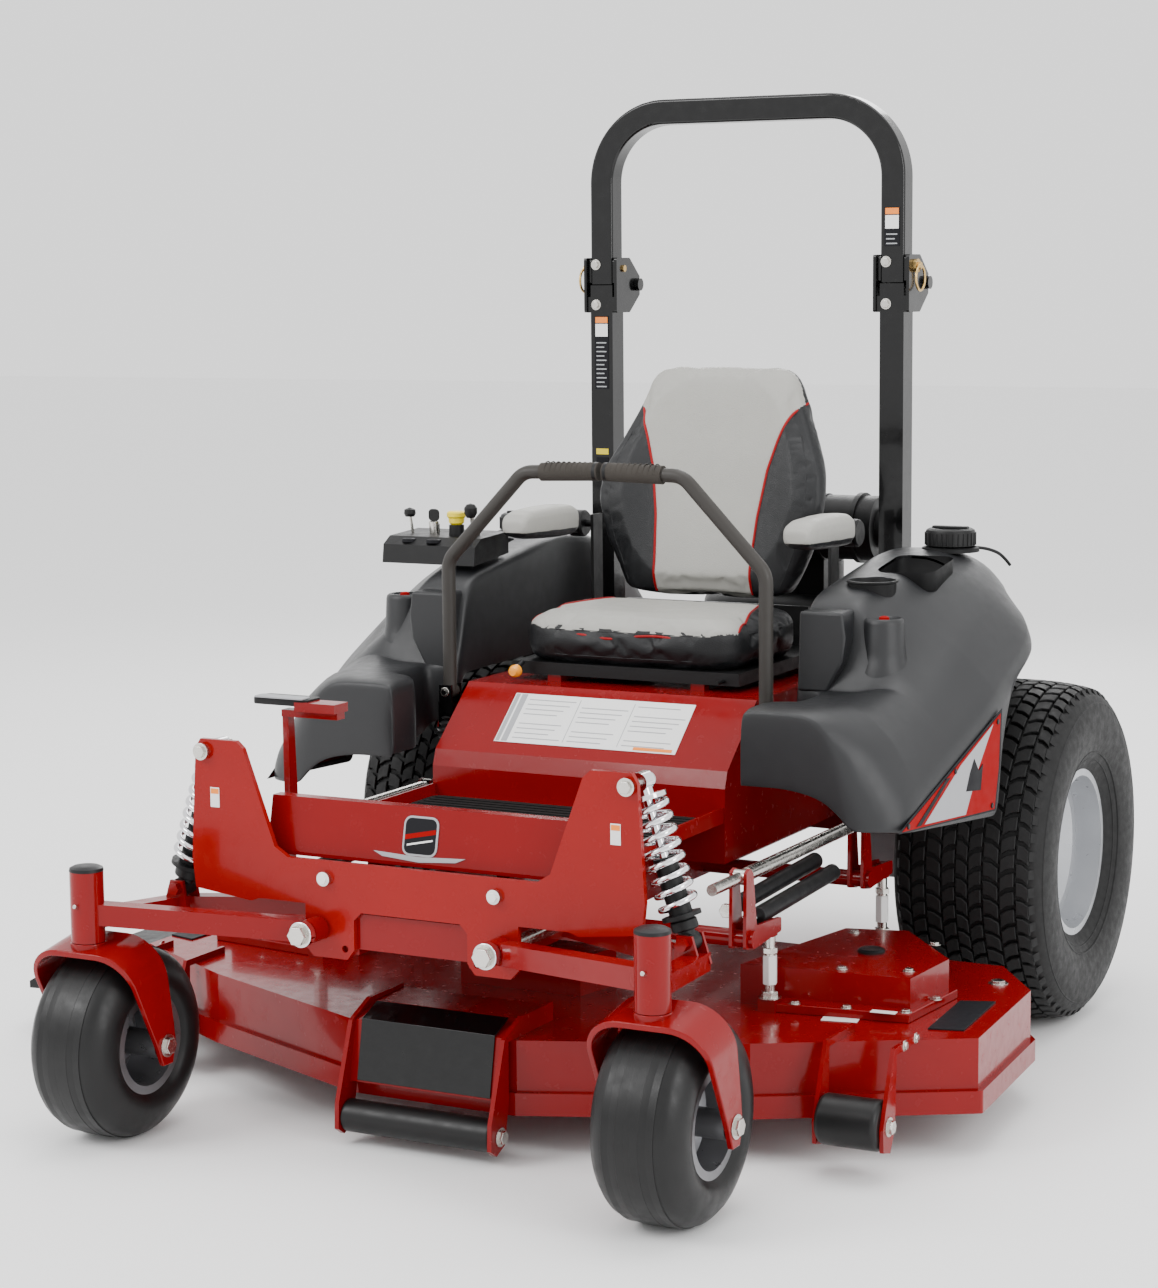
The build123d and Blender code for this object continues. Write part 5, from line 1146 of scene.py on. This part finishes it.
def console():
    """Switches, throttle lever, key and yellow blade knob on the right-hand console."""
    body = "chassis"
    for i, (x, y) in enumerate(((-392, -452), (-462, -452), (-520, -448))):
        lathe(f"console_socket_{i + 1}", [(930, 15), (936, 14.5), (937, 11), (937, 0.5), (930, 0.5)], (x, y,
                                                                                                       0),
              DARK_INK, body, axis="z", steps=40)
    round_bar("throttle_stalk", (-400, -396, 930), (-396, -418, 985), 4, ZINC, body)
    lathe("throttle_knob", [(978, 0.5), (979, 8), (988, 13), (998, 13), (1005, 8), (1007, 0.5)], (-395, -422,
                                                                                                  0),
          BLACK_PLASTIC, body, axis="z", steps=32)
    lathe("blade_knob", [(962, 0.5), (962, 10), (966, 15), (975, 16), (979, 19), (986, 19), (989, 15), (990,
                                                                                                        0.5)],
          (-440, -400, 0), YELLOW, body, axis="z", steps=36)
    round_bar("key_barrel", (-490, -400, 940), (-490, -404, 968), 10, ZINC, body)
    plate("key_bow", rounded((-502, -478), (968, 992), 8), "y", (-404, -401), BLACK_PLASTIC, body, edge=0.6)
    round_bar("choke_stalk", (-540, -400, 940), (-541, -409, 978), 3, ZINC, body)
    lathe("choke_knob", [(976, 0.5), (976, 9), (982, 12), (990, 11), (994, 0.5)], (-541, -410, 0),
          BLACK_PLASTIC, body, axis="z", steps=32)


def lever_boots():
    """Folded boots, clamps, grip ends and grip ribs of the two steering levers."""
    for side, flip in SIDES:
        body = "lever_yoke_" + side
        profile = []
        for fold in range(5):
            z = 586 + fold * 11
            profile += [(z, 30 - 3 * fold), (z + 5.5, 24 - 3 * fold)]
        profile += [(645, 15), (645, 0.5), (586, 0.5)]
        lathe("lever_boot_" + side, profile, (flip * 327, -628, 0), BLACK_PLASTIC, body, axis="z", steps=40)
        round_bar("lever_clamp_" + side, (flip * 327, -650, 668), (flip * 327, -606, 668), 9, ZINC, body)
        lathe("grip_end_" + side, [(flip * 5.5, 0.5), (flip * 5.5, 15), (flip * 8, 17.4), (flip * 14, 17.4),
                                   (flip * 14, 0.5)], (0, -628, 1092), BLACK_PLASTIC, "lever_" + side,
                                   steps=40)
        for i in range(9):
            x = flip * (24 + 11 * i)
            lathe(f"grip_rib_{i + 1}_{side}", [(x - 1.6, 16.6), (x, 17.5), (x + 1.6, 16.6), (x, 15)],
                  (0, -628, 1092), FOAM, "lever_" + side, steps=40)


def roll_bar_fittings():
    """Bracket bolts at the fold of the roll bar and the sockets at its feet."""
    for side, flip in SIDES:
        for z in (1388, 1470):
            hex_bolt(f"bracket_bolt_{z}_{side}", (flip * POST_X - 12, POST_FRONT_Y - (0.5 if z < 1400 else 1),
                                                  z), "y", 8, ZINC,
                     "chassis" if z < 1430 else "roll_hoop", height=-6)
        round_bar("post_socket_" + side, (flip * POST_X, 25, 470), (flip * POST_X, 25, 476), 34, BLACK_GLOSS,
                  "chassis", edge=1.5)


def shock_fittings():
    """Boots, collars and top nuts of the two front shocks."""
    top, low = (402, 655), (484, 405)
    for side, flip in SIDES:
        def spot(share, flip=flip):
            return (flip * (top[0] + (low[0] - top[0]) * share), -1284, top[1] + (low[1] - top[1]) * share)
        round_bar("spring_seat_top_" + side, spot(0.085), spot(0.115), 33, CHROME, "shock_top_" + side,
                  edge=1.5)
        round_bar("shock_boot_" + side, spot(0.86), spot(0.93), 22, BLACK_PLASTIC, "shock_tube_" + side,
                  edge=4)
        hex_bolt("shock_nut_" + side, (flip * top[0], -1341.5, top[1]), "y", 11, ZINC, "chassis", height=-7)


def pivot_bolts():
    """Bolt heads and collars where the front arms turn, and the bolts of the front plate."""
    for side, flip in SIDES:
        face_y = -1396
        hex_bolt("arm_bolt_head_" + side, (flip * 175, face_y, 372), "y", 17, ZINC, "chassis", height=-12,
                 washer=False)
        round_bar("arm_bolt_collar_" + side, (flip * 175, face_y + 0.5, 372), (flip * 175, face_y + 17, 372),
                  22, CHROME, "chassis", edge=2)
        hex_bolt("plate_bolt_" + side, (flip * 162, -1341, 457), "y", 9, WHITE_LABEL, "chassis", height=-6)


def lift_fittings():
    """Turnbuckle sleeves on the deck hangers and the dark gas struts under the lift links."""
    for side, flip in SIDES:
        for place, y in (("front", -902), ("rear", -382)):
            round_bar(f"hanger_rod_{place}_{side}", (flip * 455, y, 222), (flip * 455, y, 330), 9.5, ZINC,
                      "deck")
            round_bar(f"turnbuckle_{place}_{side}", (flip * 455, y, 246), (flip * 455, y, 296), 13,
                      WHITE_LABEL, "deck", sides=6, edge=1)
            hex_bolt(f"hanger_nut_{place}_{side}", (flip * 455, y, 300), "z", 14, ZINC, "deck", height=10,
                     washer=False)
            hex_bolt(f"hanger_foot_{place}_{side}", (flip * 455, y, 222), "z", 15, ZINC, "deck", height=12)
        for i, (dx, dz) in enumerate(((28, -4), (62, -22))):
            start, end = (flip * (384 + dx), -935, 392 + dz), (flip * (384 + dx), -600, 404 + dz)
            round_bar(f"strut_tube_{i + 1}_{side}", start, end, 15, DARK_STEEL, "chassis", edge=2)
            round_bar(f"strut_rod_{i + 1}_{side}", (start[0], -985, start[2] - 2), start, 6, CHROME,
                      "chassis")
            hex_bolt(f"strut_eye_{i + 1}_{side}", (start[0], -990, start[2] - 2), "y", 13, ZINC, "chassis",
                     height=12, washer=False)


def deck_fittings():
    """Cover bolts, wing pads, grease caps and the plain notices on the deck."""
    body = "deck"
    for side, flip in SIDES:
        for i, (x, y) in enumerate(((430, -840), (478, -575), (640, -600), (668, -800), (560, -835))):
            hex_bolt(f"cover_bolt_{i + 1}_{side}", (flip * x, y, 268), "z", 8, ZINC, body, height=5)
        lathe("cover_cap_" + side, [(268, 0.5), (268, 24), (272, 24), (275, 20), (275, 0.5)], (flip * 560,
                                                                                               -700, 0),
              BLACK_PLASTIC, body, axis="z", steps=48)
        step = [(flip * x, y) for x, y in ((452, -916), (700, -884), (716, -690), (690, -640), (575, -500),
                                           (452, -530))]
        plate("cover_step_" + side, step, "z", (200, 216), RED, body, edge=2)
        for i, (x, y) in enumerate(((500, -900), (590, -888), (690, -872), (706, -770))):
            hex_bolt(f"step_bolt_{i + 1}_{side}", (flip * x, y, 216), "z", 8, ZINC, body, height=5)
        pad = [(flip * x, y) for x, y in ((742, -905), (800, -890), (786, -690), (728, -712))]
        plate("wing_pad_" + side, pad, "z", (200, 203), DARK_INK, body, edge=0.8)
        hex_bolt("wing_bolt_" + side, (flip * 745, -560, 200), "z", 13, ZINC, body, height=6)
    label_block("deck_notice", (560, -930, 200.4), (1, 0.2, 0), (-0.2, 1, 0), (0, 62), (0, 26), 0.2, 0.5,
                WHITE_LABEL, body)
    label_block("deck_notice_front", (636, -893, 216.4), (1, 0.1, 0), (-0.1, 1, 0), (0, 44), (-8, 10), 0.2,
                0.5, WHITE_LABEL, body)
    glossy = [(-1232, 226.5), (-1279, 207.5), (-1299, 107), (-1300.5, 108), (-1281, 209.5), (-1233, 229)]
    plate("roller_cover_plate", glossy, "x", (-128, 128), BLACK_GLOSS, body, edge=0.4)
    for x in (-151.5, 151.5):
        hex_bolt(f"roller_nut_{'left' if x > 0 else 'right'}", (x, -1308, 48), "x", 12, ZINC, body,
                 height=9 if x > 0 else -9)
    for side, flip in SIDES:
        hex_bolt("side_roller_nut_" + side, (flip * 690 + flip * 62, -1106, 90), "x", 12, ZINC, body,
                 height=flip * 9)
        for i, (y, z) in enumerate(((-1035, 206), (-985, 206))):
            hex_bolt(f"side_bracket_bolt_{i + 1}_{side}", (flip * 690 + flip * 61, y, z), "x", 7, ZINC, body,
                     height=flip * 5)


def foot_fittings():
    """Ribbed floor mat, pedal pad and its trim."""
    body = "chassis"
    plate("floor_mat", rounded((-282, 282), (-1245, -765), 18), "z", (490.2, 494), MAT_RUBBER, body, edge=1)
    for i in range(22):
        y = -1232 + 21 * i
        plate(f"mat_rib_{i + 1}", rectangle((-268, 268), (y, y + 8)), "z", (494, 496.2), MAT_RUBBER, body,
              edge=0.8)
    plate("pedal_pad", rounded((-408, -296), (-1176, -1124), 10), "z", (714, 726), BLACK_PLASTIC,
          "lift_pedal", edge=2)
    plate("pedal_trim", rounded((-402, -302), (-1180, -1150), 6), "z", (726, 729), BADGE_SILVER, "lift_pedal",
          edge=1)


def engine_bay():
    """Cleaner clamps and a shroud screen with ribs and rings."""
    body = "chassis"
    for i, x in enumerate((-58, -20, 20, 58)):
        lathe(f"cleaner_band_{i + 1}", [(x - 5, 64), (x - 5, 68.5), (x + 5, 68.5), (x + 5, 64)], (62, 150,
                                                                                                  932),
              DARK_STEEL, body, steps=64)
    for i in range(12):
        turned = 2 * pi * i / 12
        a = (105 * sin(turned), 250 + 105 * cos(turned), 852)
        b = (22 * sin(turned), 250 + 22 * cos(turned), 858)
        round_bar(f"screen_rib_{i + 1}", a, b, 3, BLACK_PLASTIC, body, sides=10, edge=0)
    for i, radius in enumerate((30, 55, 80, 104)):
        ring = [(853 + 3 * cos(a), radius + 3 * sin(a)) for a in [2 * pi * k / 8 for k in range(8)]]
        lathe(f"screen_ring_{i + 1}", ring, (0, 250, 0), BLACK_PLASTIC, body, axis="z", steps=64)


def seat_fittings():
    round_bar("seat_adjuster_stalk", (-206, -562, 722), (-206, -585, 712), 5, DARK_STEEL, "seat")
    lathe("seat_adjuster_knob", [(-604, 0.5), (-603, 8), (-596, 12), (-586, 12), (-580, 7), (-580, 0.5)],
          (-206, 0, 708), AMBER, "seat", axis="y", steps=32)


# ---------------------------------------------------------------- floor, light and camera
def stage():
    mesh = bpy.data.meshes.new("floor")
    mesh.from_pydata([(-30, -30, 0), (30, -30, 0), (30, 30, 0), (-30, 30, 0)], [], [(0, 1, 2, 3)])
    floor = bpy.data.objects.new("floor", mesh)
    finish = material("floor_paint", (0.93, 0.93, 0.93), 0.7, vary=0.005, blotch=0.6, rough_vary=0.05)
    mesh.materials.append(finish)
    bpy.context.scene.collection.objects.link(floor)
    world = bpy.data.worlds.new("studio")
    world.use_nodes = True
    shade = world.node_tree.nodes["Background"]
    shade.inputs["Color"].default_value = (1.0, 1.0, 1.0, 1.0)
    shade.inputs["Strength"].default_value = 1.5
    bpy.context.scene.world = world


def soft_light(name, place, aim, size, power):
    data = bpy.data.lights.new(name, "AREA")
    data.shape = "RECTANGLE"
    data.size, data.size_y = size
    data.energy = power
    lamp = bpy.data.objects.new(name, data)
    lamp.location = place
    lamp.rotation_euler = (Vector(aim) - Vector(place)).to_track_quat("-Z", "Y").to_euler()
    bpy.context.scene.collection.objects.link(lamp)


def lights():
    soft_light("key_light", (-3.2, -4.6, 4.6), (0, -0.2, 0.5), (3.0, 2.4), 240)
    soft_light("side_light", (4.8, -1.8, 2.6), (0, 0, 0.6), (1.4, 3.0), 110)
    soft_light("top_light", (0.4, 0.4, 5.2), (0, 0, 0.6), (3.6, 3.6), 120)
    soft_light("back_light", (-1.5, 5.0, 3.2), (0, 0.5, 0.8), (3.0, 2.0), 90)


CAMERA_AT = (2352.2, -5229.5, 1446.7)
CAMERA_YAW, CAMERA_DOWN, CAMERA_ROLL = 27.57, 7.407, -0.4944
FOCAL_PIXELS = 2828.17
FRAME_PIXELS = 1288


def camera():
    yaw, down, roll = radians(CAMERA_YAW), radians(CAMERA_DOWN), radians(CAMERA_ROLL)
    ahead = Vector((-sin(yaw) * cos(down), cos(yaw) * cos(down), -sin(down)))
    right = Vector((cos(yaw), sin(yaw), 0))
    up = right.cross(ahead)
    right, up = right * cos(roll) + up * sin(roll), up * cos(roll) - right * sin(roll)
    data = bpy.data.cameras.new("camera")
    data.sensor_width = 36
    data.lens = FOCAL_PIXELS * data.sensor_width / FRAME_PIXELS
    made = bpy.data.objects.new("camera", data)
    turned = Matrix((right, up, -ahead)).transposed().to_4x4()
    made.matrix_world = Matrix.Translation(at(*CAMERA_AT)) @ turned
    bpy.context.scene.collection.objects.link(made)
    bpy.context.scene.camera = made


def main():
    camera()
    stage()
    lights()
    dress_kept_nodes()
    for side, flip in SIDES:
        drive_tyre(side, flip)
        valve_and_nuts(side, flip)
        caster_tyre(side, flip)
        caster_fork(side, flip)
        caster_cap(side, flip)
        skin = fender(side, flip)
        fender_details(side, flip, skin)
        fuel_fill(side, flip)
        armrest(side, flip)
    seat_back()
    seat_cushion()
    instruction_panel()
    front_badge()
    post_labels()
    arm_labels()
    console()
    lever_boots()
    roll_bar_fittings()
    shock_fittings()
    pivot_bolts()
    lift_fittings()
    deck_fittings()
    foot_fittings()
    engine_bay()
    seat_fittings()


main()
